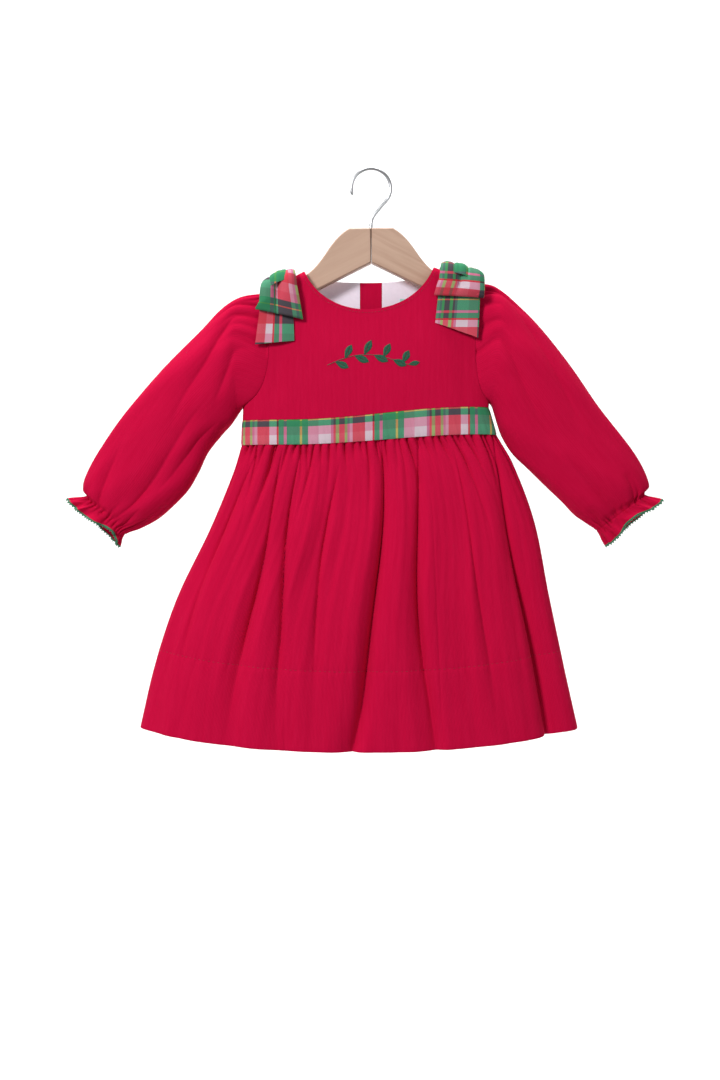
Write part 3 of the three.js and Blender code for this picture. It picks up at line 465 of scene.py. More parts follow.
def shoulderHeight(x):
    sides = {}
    for side in ("left", "right"):
        (neckX, neckZ), (tipX, tipZ) = bodice[side + "Neck"], bodice[side + "Tip"]
        sides[side] = mix(neckZ, tipZ, (x - neckX) / (tipX - neckX))
    return np.where(x < bodice["centreX"], sides["left"], sides["right"])


def bodiceDepth(x, z):
    across = np.minimum(1, np.abs(x - bodice["centreX"]) / bodice["halfWidth"])
    power = bodice["roundness"]
    sides = np.maximum(0, 1 - across**power) ** (1 / power)
    below = np.clip((shoulderHeight(x) - z) / bodice["shoulderWrap"], 0, 1)
    over = np.maximum(0, 1 - (1 - below) ** bodice["squareness"]) ** (1 / bodice["squareness"])
    return lookUp(bodiceDepths, "depth", z) * sides * over


def bodiceNormal(x, z, side):
    step = 0.6
    slopeX = (bodiceDepth(x + step, z) - bodiceDepth(x - step, z)) / (2 * step)
    slopeZ = (bodiceDepth(x, z + step) - bodiceDepth(x, z - step)) / (2 * step)
    return unit(np.stack([-slopeX, np.full_like(slopeX, side), -slopeZ], axis=-1))


def bezier(points, t):
    a, b, c, d = (np.array(p, float) for p in points)
    t = np.asarray(t)[..., None]
    return a * (1 - t) ** 3 + 3 * b * t * (1 - t) ** 2 + 3 * c * t**2 * (1 - t) + d * t**3


armholes = {
    "left": (bodice["leftTip"], (-100, -190), (-106, -240), bodice["leftUnderarm"]),
    "right": (bodice["rightTip"], (106, -185), (107, -237), bodice["rightUnderarm"]),
}


def neckLine(bottom, fullness, count):
    bx, bz = bottom
    near = (np.linspace(0, 1, count) ** 1.8)
    halves = []
    for (x, z), inner in ((bodice["leftNeck"], 0.6), (bodice["rightNeck"], 0.58)):
        points = ((x, z), (mix(x, bx, 0.17), mix(z, bz, fullness)), (mix(x, bx, inner), bz), (bx, bz))
        halves.append(bezier(points, near))
    return np.concatenate([halves[0], halves[1][-2::-1]])


def waistHeight(edge, x):
    share = (x - edge["leftX"]) / (edge["rightX"] - edge["leftX"])
    return mix(edge["leftZ"], edge["rightZ"], smooth((share - 0.2) / 0.75))


armholeRows = 70


# A Coons patch between shoulders and neck, armholes and side seams, and waist, as x and z
def bodicePatch(neckBottom, fullness):
    near = np.linspace(0, 1, 13)[:-1] ** 1.5
    shoulders = []
    for side in ("left", "right"):
        tip, neck = np.array(bodice[side + "Tip"], float), np.array(bodice[side + "Neck"], float)
        shoulders.append(tip + (neck - tip) * near[:, None])
    top = np.concatenate([shoulders[0], neckLine(neckBottom, fullness, 26), shoulders[1][::-1]])
    across = np.linspace(0, 1, len(top))
    crowded = across - 0.11 * np.sin(2 * np.pi * across)
    bottomX = mix(waistTop["leftX"], waistTop["rightX"], crowded)
    bottom = np.stack([bottomX, waistHeight(waistTop, bottomX)], axis=-1)
    turn = (1 - np.cos(np.pi * np.linspace(0, 1, armholeRows))) / 2
    down = np.concatenate([turn * 0.9, np.linspace(0.9, 1, 9)[1:]])
    tail = np.linspace(0, 1, 9)[1:, None]
    sides = []
    for name, corner in (("left", bottom[0]), ("right", bottom[-1])):
        arm = bezier(armholes[name], turn)
        sides.append(np.concatenate([arm, arm[-1] + (corner - arm[-1]) * tail]))
    grid = top[None] * (1 - down[:, None, None]) + bottom[None] * down[:, None, None]
    for edge, end, weight in ((sides[0], 0, 1 - across), (sides[1], -1, across)):
        shift = edge - (top[end] * (1 - down[:, None]) + bottom[end] * down[:, None])
        grid = grid + shift[:, None] * weight[None, :, None]
    return grid[..., 0], grid[..., 1]


# Soft drag lines under the bows and at the armholes, and the bodice's slight unevenness, in mm
def bodiceRelief(x, z, side):
    fromLeft, fromRight = x - bodice["leftTip"][0], bodice["rightTip"][0] - x
    drag = 0.9 * bell(fromLeft - 22 - 0.1 * (z + 180), 9) + 0.8 * bell(fromRight - 20 - 0.08 * (z + 180), 9)
    drag = drag * smooth((-150 - z) / 30) * smooth((z + 262) / 30)
    wander = 0.35 * uneven(x / 17 + 0.02 * z, 3 + side) * smooth((z + 262) / 20)
    pull = 0.25 * uneven(x / 3.1, 5 + side) * smooth((-250 - z) / 14)
    return (wander - drag + pull) * smooth((bodice["halfWidth"] - np.abs(x - bodice["centreX"])) / 20)


def bodiceSurface(x, z, side, lift=0.0):
    normal = bodiceNormal(x, z, side)
    point = np.stack([x, side * (bodiceDepth(x, z) + seamGap / 2), z], axis=-1)
    return point + normal * (bodiceRelief(x, z, side) + lift)[..., None], normal


# Points on the shoulder line and the side seams lie in the middle plane and face out of it
def panelPoints(x, z, side, lift=0.0):
    lift = np.broadcast_to(lift, x.shape)
    point, normal = bodiceSurface(x, z, side, lift)
    onShoulder = (shoulderHeight(x) - z < 0.05)
    onSide = np.abs(x - bodice["centreX"]) > bodice["halfWidth"] - 0.02
    row, column = np.indices(x.shape)
    onSide = onSide | ((row >= armholeRows - 1) & np.isin(column, (0, x.shape[1] - 1)))
    slope = np.where(x < 0, 0.49, -0.34)
    up = unit(np.stack([-slope, np.zeros_like(x), np.ones_like(x)], axis=-1))
    out = np.stack([np.sign(x), np.zeros_like(x), np.zeros_like(x)], axis=-1)
    for where, facing in ((onShoulder, up), (onSide, out)):
        edge = np.stack([x, np.full_like(x, side * seamGap / 2), z], axis=-1) + facing * lift[..., None]
        point = np.where(where[..., None], edge, point)
        normal = np.where(where[..., None], facing, normal)
    return point, normal


frontX, frontZ = bodicePatch(bodice["frontNeck"], 0.68)
backX, backZ = bodicePatch(bodice["backNeck"], 0.8)


# The part of a grid left or right of a vertical cut, with each row drawn in or out to end at the cut
def upToCut(x, z, cut, keepLeft):
    column = int(np.argmax(x[-1] > cut)) if keepLeft else int(np.argmax(x[-1] > cut)) - 1
    keep = slice(0, column + 1) if keepLeft else slice(column, None)
    outer = x[:, :1] if keepLeft else x[:, -1:]
    keptX = outer + (x[:, keep] - outer) * (cut - outer) / (x[:, column : column + 1] - outer)
    keptZ = np.array([np.interp(keptX[row], x[row], z[row]) for row in range(len(x))])
    return keptX, keptZ


# A cut edge lies on the back's own surface, while the other edges turn in to their seams
def bodicePanel(name, x, z, side, thickness, material, lift=0.0, cutEdge=None):
    point, normal = panelPoints(x, z, side, lift)
    if cutEdge is not None:
        point[:, cutEdge], normal[:, cutEdge] = bodiceSurface(x[:, cutEdge], z[:, cutEdge], side, lift)
    return clothObject(name, point, -normal, np.stack([x, z], axis=-1), thickness, material)


bodiceFront = bodicePanel("bodice front", frontX, frontZ, -1, bodice["thickness"], materials["corduroy"])
register(bodiceFront, "corduroy", "bodice_front")
backLeftX, backLeftZ = upToCut(backX, backZ, bodice["placket"], True)
bodiceBackLeft = bodicePanel("bodice back left", backLeftX, backLeftZ, 1, bodice["thickness"],
                             materials["corduroy"], cutEdge=-1)
register(bodiceBackLeft, "corduroy", "bodice_back_left")
backRightX, backRightZ = upToCut(backX, backZ, bodice["placket"] - seamLap, False)
bodiceBackRight = bodicePanel("bodice back right", backRightX, backRightZ, 1, bodice["thickness"],
                              materials["corduroy"], cutEdge=0)
register(bodiceBackRight, "corduroy", "bodice_back_right")
print("stage: bodice made")


# Lining, placket, label and buttons of the back

lining = {"thickness": 0.6, "behind": -1.8, "rows": 62}
for name, cut, keepLeft in (("left", -11.8, True), ("right", 11.8, False)):
    x, z = upToCut(backX[: lining["rows"]], backZ[: lining["rows"]], cut, keepLeft)
    piece = bodicePanel("back lining " + name, x, z, 1, lining["thickness"], materials["lining"],
                        lining["behind"])
    register(piece, "lining", "lining_back_" + name)
stripX = np.linspace(-11.5, 11.5, 9)[None] + np.zeros((lining["rows"], 1))
stripZ = np.array([np.interp(stripX[row], backX[row], backZ[row]) for row in range(lining["rows"])])
placket = bodicePanel("back placket", stripX, stripZ, 1, lining["thickness"], materials["corduroy"],
                      lining["behind"])
register(placket, "corduroy", "back_placket")

label = {"x": (31, 67), "z": (-134, -155), "behind": -3.1, "thickness": 0.4}
labelX, labelZ = np.meshgrid(np.linspace(*label["x"], 25), np.linspace(*label["z"], 15))
point, normal = bodiceSurface(labelX, labelZ, 1, label["behind"])
labelUv = np.stack([labelX, labelZ], axis=-1)
neckLabel = clothObject("neck label", point, -normal, labelUv, label["thickness"], materials["label"])
register(neckLabel, "label", "neck_label")


# profile: radius and height of each turn of the button's face, from the middle out and round to its back
buttons = {
    "z": (-138, -200), "proud": 0.4, "threadLift": 1.35, "holeReach": 1.2, "thread": 0.35,
    "profile": ((0, 1.2), (2.9, 1.2), (3.4, 1.7), (4.6, 2.2), (5.2, 1.9), (5.3, 1.1), (5, 0.2), (0, 0.2)),
}


def buttonObjects(number, z):
    turn = np.linspace(0, 2 * np.pi, 49)
    radii, heights = np.array(buttons["profile"], float).T
    found = bodiceSurface(np.array([0.0]), np.array([z]), 1, buttons["proud"])
    centre, facing = found[0][0], found[1][0]
    across = np.array([1.0, 0, 0])
    up = unit(np.cross(facing, across))
    ring = np.cos(turn)[:, None] * across + np.sin(turn)[:, None] * up
    points = centre + radii[:, None, None] * ring[None] + (heights[:, None, None] * facing)
    button = skinObject(f"back button {number}", points, materials["button"], False, 40)
    top = centre + facing * buttons["threadLift"]
    reach = buttons["holeReach"]
    places = ((-1, -1), (1, 1), (-1, 1), (1, -1))
    holes = np.array([top + across * h * reach + up * v * reach for h, v in places])
    cross = threadObject(f"button thread {number}", holes[[0, 2]], holes[[1, 3]], np.array([facing, facing]),
                         buttons["thread"], materials["thread"])
    return button, cross


for number, z in enumerate(buttons["z"], 1):
    button, cross = buttonObjects(number, z)
    register(button, "button", f"back_button_{number}")
    register(cross, "button")
print("stage: back fastening made")


# Half rings of the waistband and skirt: superellipses, with points at even shares of their length

def ringPoints(section, share, side):
    middle = (section["left"] + section["right"]) / 2
    half = (section["right"] - section["left"]) / 2
    power = 2 / section["roundness"]
    angle = np.pi * (1 - np.linspace(0, 1, 600))
    outlineX = middle + half * signedPower(np.cos(angle), power)
    outlineY = section["depth"] * np.maximum(0, np.sin(angle)) ** power
    lengths = np.concatenate([[0], np.cumsum(np.hypot(np.diff(outlineX), np.diff(outlineY)))])
    wanted = share * lengths[-1]
    x = np.interp(wanted, lengths, outlineX)
    y = np.interp(wanted, lengths, outlineY)
    exponent = section["roundness"] - 1
    facingX = signedPower((x - middle) / half, exponent) / half
    facingY = side * np.maximum(0, y / section["depth"]) ** exponent / section["depth"]
    normal = unit(np.stack([facingX, facingY, np.zeros_like(x)], axis=-1))
    return x, side * (y - seamLap), normal, lengths[-1]


waistband = {"proud": 0.5, "thickness": 1.8, "columns": 260, "rows": 15, "roll": 0.5, "height": 27.5,
             "warpStart": 37.0, "weftStart": 40.6}


def waistbandObject(name, side):
    share = np.linspace(0, 1, waistband["columns"])
    depth = float(lookUp(bodiceDepths, "depth", waistTop["leftZ"]))
    points, normals, uvs = [], [], []
    for down in np.linspace(0, 1, waistband["rows"]):
        section = {key: mix(waistTop[key + "X"], waistBottom[key + "X"], down) for key in ("left", "right")}
        section.update(depth=depth, roundness=bodice["roundness"])
        x, y, normal, length = ringPoints(section, share, side)
        z = mix(waistHeight(waistTop, x) - seamGap, waistHeight(waistBottom, x) + seamGap, down)
        edge = min(down, 1 - down)
        pucker = 0.22 * uneven(share * 170, 2 + side) * (0.4 + down)
        pucker = pucker * smooth(np.minimum(share, 1 - share) / 0.03)
        lift = waistband["proud"] - waistband["roll"] * bell(edge, 0.07) + pucker
        points.append(np.stack([x, y, z], axis=-1) + normal * lift[:, None])
        normals.append(normal)
        acrossPlaid = share * length - np.interp(0, x, share * length) + waistband["warpStart"]
        alongPlaid = np.full_like(x, waistband["weftStart"] + waistband["height"] * down)
        uvs.append(np.stack([acrossPlaid, alongPlaid], axis=-1))
    points, normals, uvs = np.array(points), np.array(normals), np.array(uvs)
    return clothObject(name, points, -normals, uvs, waistband["thickness"], materials["plaid"])


waistFront = register(waistbandObject("waistband front", -1), "plaid", "waistband_front")
waistBack = register(waistbandObject("waistband back", 1), "plaid", "waistband_back")
print("stage: waistband made")


# Skirt: gathers under the waistband that run out unevenly, the large folds, and a deep stitched hem

skirt = {
    "columns": 520, "thickness": 1.1, "gathers": 38, "puff": 0.4, "hemSideZ": -589, "hemSag": 20,
    "hemDepth": 82, "hemShare": 0.737, "seamShare": 0.04, "softShare": 0.28, "creaseWidth": 0.13,
    "openHem": 3.0, "clothWidth": 430, "stitchSpacing": 5.2, "stitchLength": 2.6, "stitchThread": 0.18,
}
skirtSections = tableOf(("at", "left", "right", "depth", "roundness"), (
    (0, -137, 133, 21.5, 3),
    (0.1, -146, 150.5, 26, 2.9),
    (0.3, -170, 173, 35, 2.7),
    (0.55, -205, 188, 45, 2.6),
    (0.8, -229.5, 204, 52, 2.5),
    (1, -244, 218, 57, 2.4),
))
# x where each fold passes the waist, the middle and the hem, shares of the length where it starts and
# ends, its depth and half width, how much steeper it is on its right, and how crisp it is at the hem
foldColumns = ("waistX", "middleX", "hemX", "start", "end", "depth", "width", "lean", "crispHem")
frontFolds = tableOf(foldColumns, (
    (-114, -178, -205, 0.0, 1.15, 5.0, 10, 0.3, 0.1),
    (-90, -121, -152, 0.0, 1.3, 8.5, 9, 0.4, 0.1),
    (-73, -93, -96, 0.0, 1.2, 9.0, 9, 0.4, 0.15),
    (-30, -55, -64, 0.06, 0.8, 5.0, 8, 0.3, 0.0),
    (12, 5, -21, -0.05, 1.7, 13.5, 10, 0.5, 0.9),
    (50, 49, 66, -0.05, 1.5, 11.5, 10, 0.4, 0.7),
    (82, 112, 128, 0.0, 1.0, 4.5, 9, 0.3, 0.1),
    (127, 156, 188, -0.05, 1.7, 13.5, 10, -0.5, 1.0),
))
backFolds = tableOf(foldColumns, (
    (-105, -150, -184, 0.0, 1.6, 8.5, 11, 0.2, 0.2),
    (-66, -92, -118, 0.0, 1.8, 11.5, 11, -0.3, 0.8),
    (-32, -48, -70, 0.05, 1.3, 7.5, 10, 0.3, 0.0),
    (-4, -8, -14, -0.05, 1.8, 13.5, 11, -0.3, 0.9),
    (30, 36, 36, 0.02, 1.4, 8.5, 10, 0.3, 0.1),
    (62, 78, 88, 0.0, 1.8, 12.5, 11, -0.4, 0.9),
    (100, 128, 146, 0.0, 1.4, 9.5, 10, 0.2, 0.2),
))


# Pressed lines, thin and nearly straight: x at the waist, the middle and the hem, start, end, depth
pressedLines = tableOf(foldColumns[:6], (
    (60, 67, 73, 0.1, 1.3, 0.8), (-8, -10, -10, 0.6, 1.3, 0.6), (-84, -88, -89, 0.7, 1.3, 0.6),
))


def lineAt(line, down):
    upper = line["waistX"] * (1 - down) * (1 - 2 * down) + line["middleX"] * 4 * down * (1 - down)
    return upper + line["hemX"] * down * (2 * down - 1)


def growth(line, down):
    return math.sin(math.pi * min(1, max(0, (down - line["start"]) / (line["end"] - line["start"]))))


# Soft trough with a sharp crease at its bottom, and low ridges to either side
def foldTrough(fold, x, down):
    width = fold["width"] * mix(0.6, 1.2, down)
    away = x - lineAt(fold, down) - 1.6 * math.sin(9 * down + fold["waistX"])
    leaning = width * (1 - 0.45 * fold["lean"] * np.tanh(away / width))
    ridges = 0.1 * (bell(away - 2.1 * width, width * 1.3) + bell(away + 2.1 * width, width * 1.3))
    soft = skirt["softShare"] * bell(away, leaning)
    crisp = mix(fold["crispHem"], 1, smooth((0.95 - down) / 0.4))
    creased = skirt["creaseWidth"] * leaning * mix(0.8, skirt["openHem"], down)
    crease = (1 - skirt["softShare"]) * crisp * sharp(away, creased)
    return fold["depth"] * growth(fold, down) ** 0.8 * (soft + crease - ridges)


# Gathers: unevenly spaced sharp creases under the waistband, each with its own depth, length and slant
def gatherTable(count):
    return {
        "share": (np.arange(count) + 0.5 + rng.uniform(-0.38, 0.38, count)) / count,
        "length": 0.035 + 0.19 * rng.random(count) ** 2.2,
        "depth": rng.uniform(2.8, 6.4, count),
        "width": rng.uniform(0.7, 1.35, count),
        "slant": rng.uniform(-9, 9, count),
    }


def gatherRelief(table, share, down, length):
    away = (share[:, None] - table["share"]) * length - table["slant"] * down / 0.1 * 0.5
    fade = np.exp(-((down / table["length"]) ** 1.5)) * smooth(0.55 + down / 0.012)
    widening = table["width"] * (1 + 1.2 * down / table["length"])
    return -(table["depth"] * fade * sharp(away, widening)).sum(axis=1)


# 0 at the side seams, 1 over the rest of a panel
def awayFromSeams(share):
    return smooth(share / skirt["seamShare"]) * smooth((1 - share) / skirt["seamShare"])


def skirtRelief(folds, gathers, share, down, x, side, length):
    trough = sum(foldTrough(fold, x, down) for fold in folds)
    trough = trough + sum(line["depth"] * growth(line, down) * sharp(x - lineAt(line, down), 0.9)
                          for line in pressedLines)
    puff = skirt["puff"] * (1 + 0.5 * uneven(share * 57, side)) * smooth(down / 0.012)
    puff = puff * math.exp(-((down / 0.07) ** 2))
    slack = 1.5 * uneven(share * 38 + 1.2 * math.sin(2.6 * down), 6 + side) * smooth(down / 0.4)
    slack = slack + 0.5 * uneven(share * 95 + 2.2 * down, 9 + side) * smooth(down / 0.15) * (1 - 0.5 * down)
    return awayFromSeams(share) * (gatherRelief(gathers, share, down, length) + puff - trough + slack)


def hemHeight(x, section):
    fromMiddle = np.abs(2 * (x - section["left"]) / (section["right"] - section["left"]) - 1)
    return skirt["hemSideZ"] - skirt["hemSag"] * (1 - np.minimum(1, fromMiddle) ** 2.2)


def skirtRow(side, folds, gathers, down):
    section = sectionAt(skirtSections, down)
    share = np.linspace(0, 1, skirt["columns"])
    x, y, normal, length = ringPoints(section, share, side)
    part = (x - section["left"]) / (section["right"] - section["left"])
    top = waistHeight(waistBottom, mix(waistBottom["leftX"], waistBottom["rightX"], part))
    hem = hemHeight(x, section)
    sewn = hem + skirt["hemDepth"]
    if down < skirt["hemShare"]:
        z = mix(top, sewn, down / skirt["hemShare"])
    else:
        z = mix(sewn, hem, (down - skirt["hemShare"]) / (1 - skirt["hemShare"]))
    relief = skirtRelief(folds, gathers, share, down, x, side, length)
    aboveHem = z - hem
    aboveSewing = aboveHem - skirt["hemDepth"]
    stitched = 0.12 * bell(aboveSewing, 1.1) - 0.12 * smooth(-aboveSewing / 3)
    pucker = 0.25 * uneven(share * 260, 11 + side) * bell(aboveSewing, 7)
    fold = 0.6 * smooth(1 - aboveHem / 1.6)
    relief = relief - (stitched + pucker + fold) * awayFromSeams(share)
    point = np.stack([x, y, z], axis=-1) + normal * relief[:, None]
    return point, normal, np.stack([(share - 0.5) * skirt["clothWidth"], z], axis=-1), aboveHem


def skirtObject(name, side, folds):
    gathers = gatherTable(skirt["gathers"])
    seamRow = skirt["hemShare"]
    fromWaist = seamRow * np.linspace(0, 1, 60) ** 1.6
    nearSeam = seamRow + np.array([0.0025, 0.005, 0.012])
    downs = np.concatenate([fromWaist[:-1], [seamRow - 0.005, seamRow - 0.0025, seamRow], nearSeam,
                            np.linspace(seamRow + 0.025, 0.985, 15), [0.993, 0.996, 0.9985, 1.0]])
    rows = [skirtRow(side, folds, gathers, float(down)) for down in np.sort(downs)]
    points, normals, uvs = (np.array([row[k] for row in rows]) for k in range(3))
    obj = clothObject(name, points, -normals, uvs, skirt["thickness"], materials["corduroy"])
    return obj, points, normals, np.array([row[3] for row in rows])


def hemStitches(name, points, normals, aboveHem):
    place = np.argmin(np.abs(aboveHem - skirt["hemDepth"]), axis=0)
    columns = np.arange(points.shape[1])
    path = points[place, columns]
    reached = lengthsAlong(path)
    at = np.arange(2, reached[-1] - 3, skirt["stitchSpacing"])
    starts, ends = (pointsAt(path, reached, at + shift) for shift in (0.0, skirt["stitchLength"]))
    facing = unit(pointsAt(normals[place, columns], reached, at))
    return threadObject(name, starts, ends, facing, skirt["stitchThread"], materials["thread"])


for name, side, folds in (("front", -1, frontFolds), ("back", 1, backFolds)):
    panel, points, normals, aboveHem = skirtObject("skirt " + name, side, folds)
    register(panel, "corduroy", "skirt_" + name)
    sewing = register(hemStitches("hem stitches " + name, points, normals, aboveHem), "corduroy")
print("stage: skirt made")


# Sleeves: rings from the armhole to the ruffle, gathered at the head and at the elastic

sleeve = {"roundness": 2.3, "settled": 1.3, "elastic": 9, "columns": 240, "thickness": 1.1, "headGathers": 15,
          "wristGathers": 34, "waves": 12, "softShare": 0.55, "creaseWidth": 0.22, "clothWidth": 250}
sectionColumns = ("at", "outerX", "outerZ", "innerX", "innerZ", "depth")
sleeveSections = {
    "left": tableOf(sectionColumns, (
        (0, -117, -131, -135.6, -249.6, 17),
        (1, -142, -136, -139.5, -257, 20),
        (2, -161, -149.5, -147, -268.5, 22),
        (3, -181, -170, -158, -279.5, 23),
        (4, -222, -211.5, -172.5, -298, 23),
        (5, -258, -254, -182.5, -320, 22),
        (6, -286, -296, -196, -343, 21),
        (7, -302, -325, -220, -366, 19),
        (8, -306, -338, -243.5, -379, 15),
        (9, -302, -345, -261, -385.5, 10.5),
        (10, -319.5, -349.5, -267.5, -397, 15),
    )),
    "right": tableOf(sectionColumns, (
        (0, 115, -120, 125.4, -245, 17),
        (1, 135, -125.5, 129, -253, 20),
        (2, 156.5, -143.5, 133.5, -268.5, 22),
        (3, 180.5, -168, 139, -282.5, 23),
        (4, 213, -210, 151, -301.5, 23),
        (5, 242, -252, 170, -320.5, 22),
        (6, 273.5, -294, 193.5, -344, 21),
        (7, 289, -319, 212.5, -363, 19),
        (8, 295, -334, 227, -374, 15),
        (9, 290, -343, 239, -381.5, 10.5),
        (10, 306.5, -350, 250, -396, 15),
    )),
}
creaseColumns = ("start", "end", "angleFrom", "angleTo", "depth", "width")
sleeveFolds = {
    "left": tableOf(creaseColumns, (
        (0.4, 4.6, 42, 92, 3.0, 10), (3.4, 9, 104, 108, 3.6, 9), (5.6, 9, 52, 80, 3.2, 9),
        (7.2, 9, 118, 136, 2.8, 7), (0.5, 3.0, 78, 112, 2.2, 8), (3.0, 6.4, 140, 118, 2.6, 8),
        (1, 6, 300, 255, 3.6, 12), (4.5, 9, 235, 225, 3.4, 11),
    )),
    "right": tableOf(creaseColumns, (
        (0.7, 5.4, 76, 108, 3.4, 9), (1.5, 5.2, 28, 72, 2.8, 10), (5.2, 9, 104, 96, 3.4, 9),
        (6.6, 9, 60, 70, 3.0, 7), (7.2, 9, 130, 140, 2.6, 7),
        (1, 6, 305, 262, 3.6, 12), (4.5, 9, 240, 232, 3.4, 11),
    )),
}
# Where the ruffle's front edge is drawn up, so its back shows under it: degrees round, height, spread
ruffleRise = {"left": (122, 8.5, 30), "right": (92, 6.5, 26)}


# The ring that meets the bodice: the armhole's own edge, a seam gap further out
def armholeRing(name, angle):
    t = (1 - np.cos(angle)) / 2
    at = bezier(armholes[name], t)
    x, z = at[:, 0], at[:, 1]
    outward = -1 if name == "left" else 1
    before, after = (bezier(armholes[name], np.clip(t + step, 0, 1)) for step in (-0.01, 0.01))
    along = unit(after - before)
    side = np.where(np.sin(angle) >= 0, -1.0, 1.0)
    depth = np.where(np.abs(np.sin(angle)) < 1e-6, 0, bodiceDepth(x, z))
    apart = outward * seamGap
    point = np.stack([x + apart * np.abs(along[:, 1]), side * depth, z + apart * along[:, 0]], axis=-1)
    return point, bodiceNormal(x, z, side)


def sleeveRing(name, place, angle):
    section = sectionAt(sleeveSections[name], place)
    outer, inner = (np.array([section[edge + "X"], 0, section[edge + "Z"]]) for edge in ("outer", "inner"))
    power = 2 / sleeve["roundness"]
    up = signedPower(np.cos(angle), power)
    front = signedPower(np.sin(angle), power)
    half = (outer - inner) / 2
    point = (outer + inner) / 2 + half * up[:, None]
    point[:, 1] = -section["depth"] * front
    length = np.linalg.norm(half)
    normal = half / length * (signedPower(up, sleeve["roundness"] - 1) / length)[:, None]
    normal[:, 1] = -signedPower(front, sleeve["roundness"] - 1) / section["depth"]
    return point, unit(normal)


def headTable(count):
    spread = np.linspace(-88, 80, count) + rng.uniform(-4, 4, count)
    return {"degrees": spread, "reach": rng.uniform(0.4, 2.2, count), "depth": rng.uniform(1.6, 3.6, count),
            "slant": rng.uniform(-5, 5, count)}


def wristTable(count):
    return {"degrees": (np.arange(count) + rng.uniform(-0.35, 0.35, count)) * 360 / count,
            "above": rng.uniform(0.25, 1.5, count) ** 1.3, "below": rng.uniform(0.25, 0.75, count),
            "depth": rng.uniform(1.6, 3.8, count), "slant": rng.uniform(-4, 4, count)}


def turned(degrees):
    return (degrees + 180) % 360 - 180


# Gathers at the head and the elastic, waves on the ruffle, and the long folds, in mm
def sleeveRelief(name, place, angle, heads, wrists):
    degrees = np.degrees(angle)[:, None]
    seed = 1 if name == "left" else 4
    apart = turned(degrees - heads["degrees"] - heads["slant"] * place)
    fade = np.exp(-((place / heads["reach"]) ** 2))
    head = -(heads["depth"] * fade * sharp(apart, 2.0 + 1.5 * place)).sum(axis=1)
    head = head + 0.9 * bell(place - 0.5, 0.5) * bell(turned(degrees[:, 0]), 75)
    beyond = place - sleeve["elastic"]
    fade = np.exp(-((beyond / (wrists["above"] if beyond < 0 else wrists["below"])) ** 2))
    apart = turned(degrees - wrists["degrees"] - wrists["slant"] * beyond)
    drawnIn = (wrists["depth"] * fade * sharp(apart, 1.7 + 1.6 * abs(beyond))).sum(axis=1)
    wrist = 0.9 * bell(beyond, 0.7) - drawnIn
    shift = 0.18 * uneven(angle * 5, seed)
    wave = np.cos(angle * sleeve["waves"] + np.pi * shift)
    ruffle = (2.6 * wave + 0.6 * uneven(angle * 11, seed + 5)) * smooth(beyond)
    slack = 0.9 * uneven(angle * 3 + place * 0.9, seed + 3) * smooth((place - 0.6) / 1.5)
    slack = slack * smooth((sleeve["elastic"] - place) / 2)
    trough = 0
    for crease in sleeveFolds[name]:
        along = min(1, max(0, (place - crease["start"]) / (crease["end"] - crease["start"])))
        apart = degrees[:, 0] - mix(crease["angleFrom"], crease["angleTo"], along)
        width = crease["width"]
        ridges = 0.1 * (bell(apart - 2 * width, width) + bell(apart + 2 * width, width))
        shape = sleeve["softShare"] * bell(apart, width) - ridges
        shape = shape + (1 - sleeve["softShare"]) * sharp(apart, sleeve["creaseWidth"] * width)
        trough = trough + crease["depth"] * math.sin(math.pi * along) ** 0.8 * shape
    return head + wrist + ruffle + slack - trough


def downSleeve(name):
    table = sleeveSections[name][-1]
    across = [table["outerX"] - table["innerX"], 0, table["outerZ"] - table["innerZ"]]
    alongEdge = unit(np.array(across, float))
    return np.array([alongEdge[2] * np.sign(table["outerX"]), 0, -abs(alongEdge[0])])


def sleeveGrid(name):
    angle = 2 * np.pi * np.arange(sleeve["columns"]) / sleeve["columns"]
    places = [np.linspace(0, 1, 26)[:-1] ** 1.2, np.linspace(1, 8, 76)[:-1], np.linspace(8, 10, 50)]
    heads, wrists = headTable(sleeve["headGathers"]), wristTable(sleeve["wristGathers"])
    seam, seamNormal = armholeRing(name, angle)
    first, firstNormal = sleeveRing(name, 0, angle)
    underarm = smooth((60 - np.abs(np.degrees(angle) - 180)) / 45)[:, None]
    seamNormal = unit(seamNormal * (1 - underarm) + firstNormal * underarm)
    points, normals, uvs = [], [], []
    reached = 0
    before = None
    for place in np.concatenate(places):
        point, normal = sleeveRing(name, place, angle)
        held = 1 - smooth(place / sleeve["settled"])
        point = point + (seam - first) * held
        normal = unit(normal * (1 - held) + seamNormal * held)
        relief = sleeveRelief(name, float(place), angle, heads, wrists) * smooth(place / 0.12)
        roll = 0.7 * bell(place - sleeve["elastic"], 0.06)
        riseAt, rise, spread = ruffleRise[name]
        nearRise = bell(turned(np.degrees(angle) - riseAt), spread)
        lifted = rise * smooth(place - sleeve["elastic"]) ** 2 * nearRise
        point = point - downSleeve(name) * lifted[:, None]
        centre = point.mean(axis=0)
        reached += 0 if before is None else float(np.linalg.norm(centre - before))
        before = centre
        points.append(point + normal * (relief - roll)[:, None])
        normals.append(normal)
        around = np.linspace(0, 1, sleeve["columns"] + 1) * sleeve["clothWidth"]
        uvs.append(np.stack([around, np.full_like(around, reached)], axis=-1))
    return np.array(points), np.array(normals), np.array(uvs)


# A closed ring of points spaced evenly; only their first three numbers are a place
def evenly(ring, spacing):
    ring = np.concatenate([ring, ring[:1]])
    reached = lengthsAlong(ring[:, :3])
    return pointsAt(ring, reached, np.linspace(0, reached[-1], int(reached[-1] / spacing) + 1))


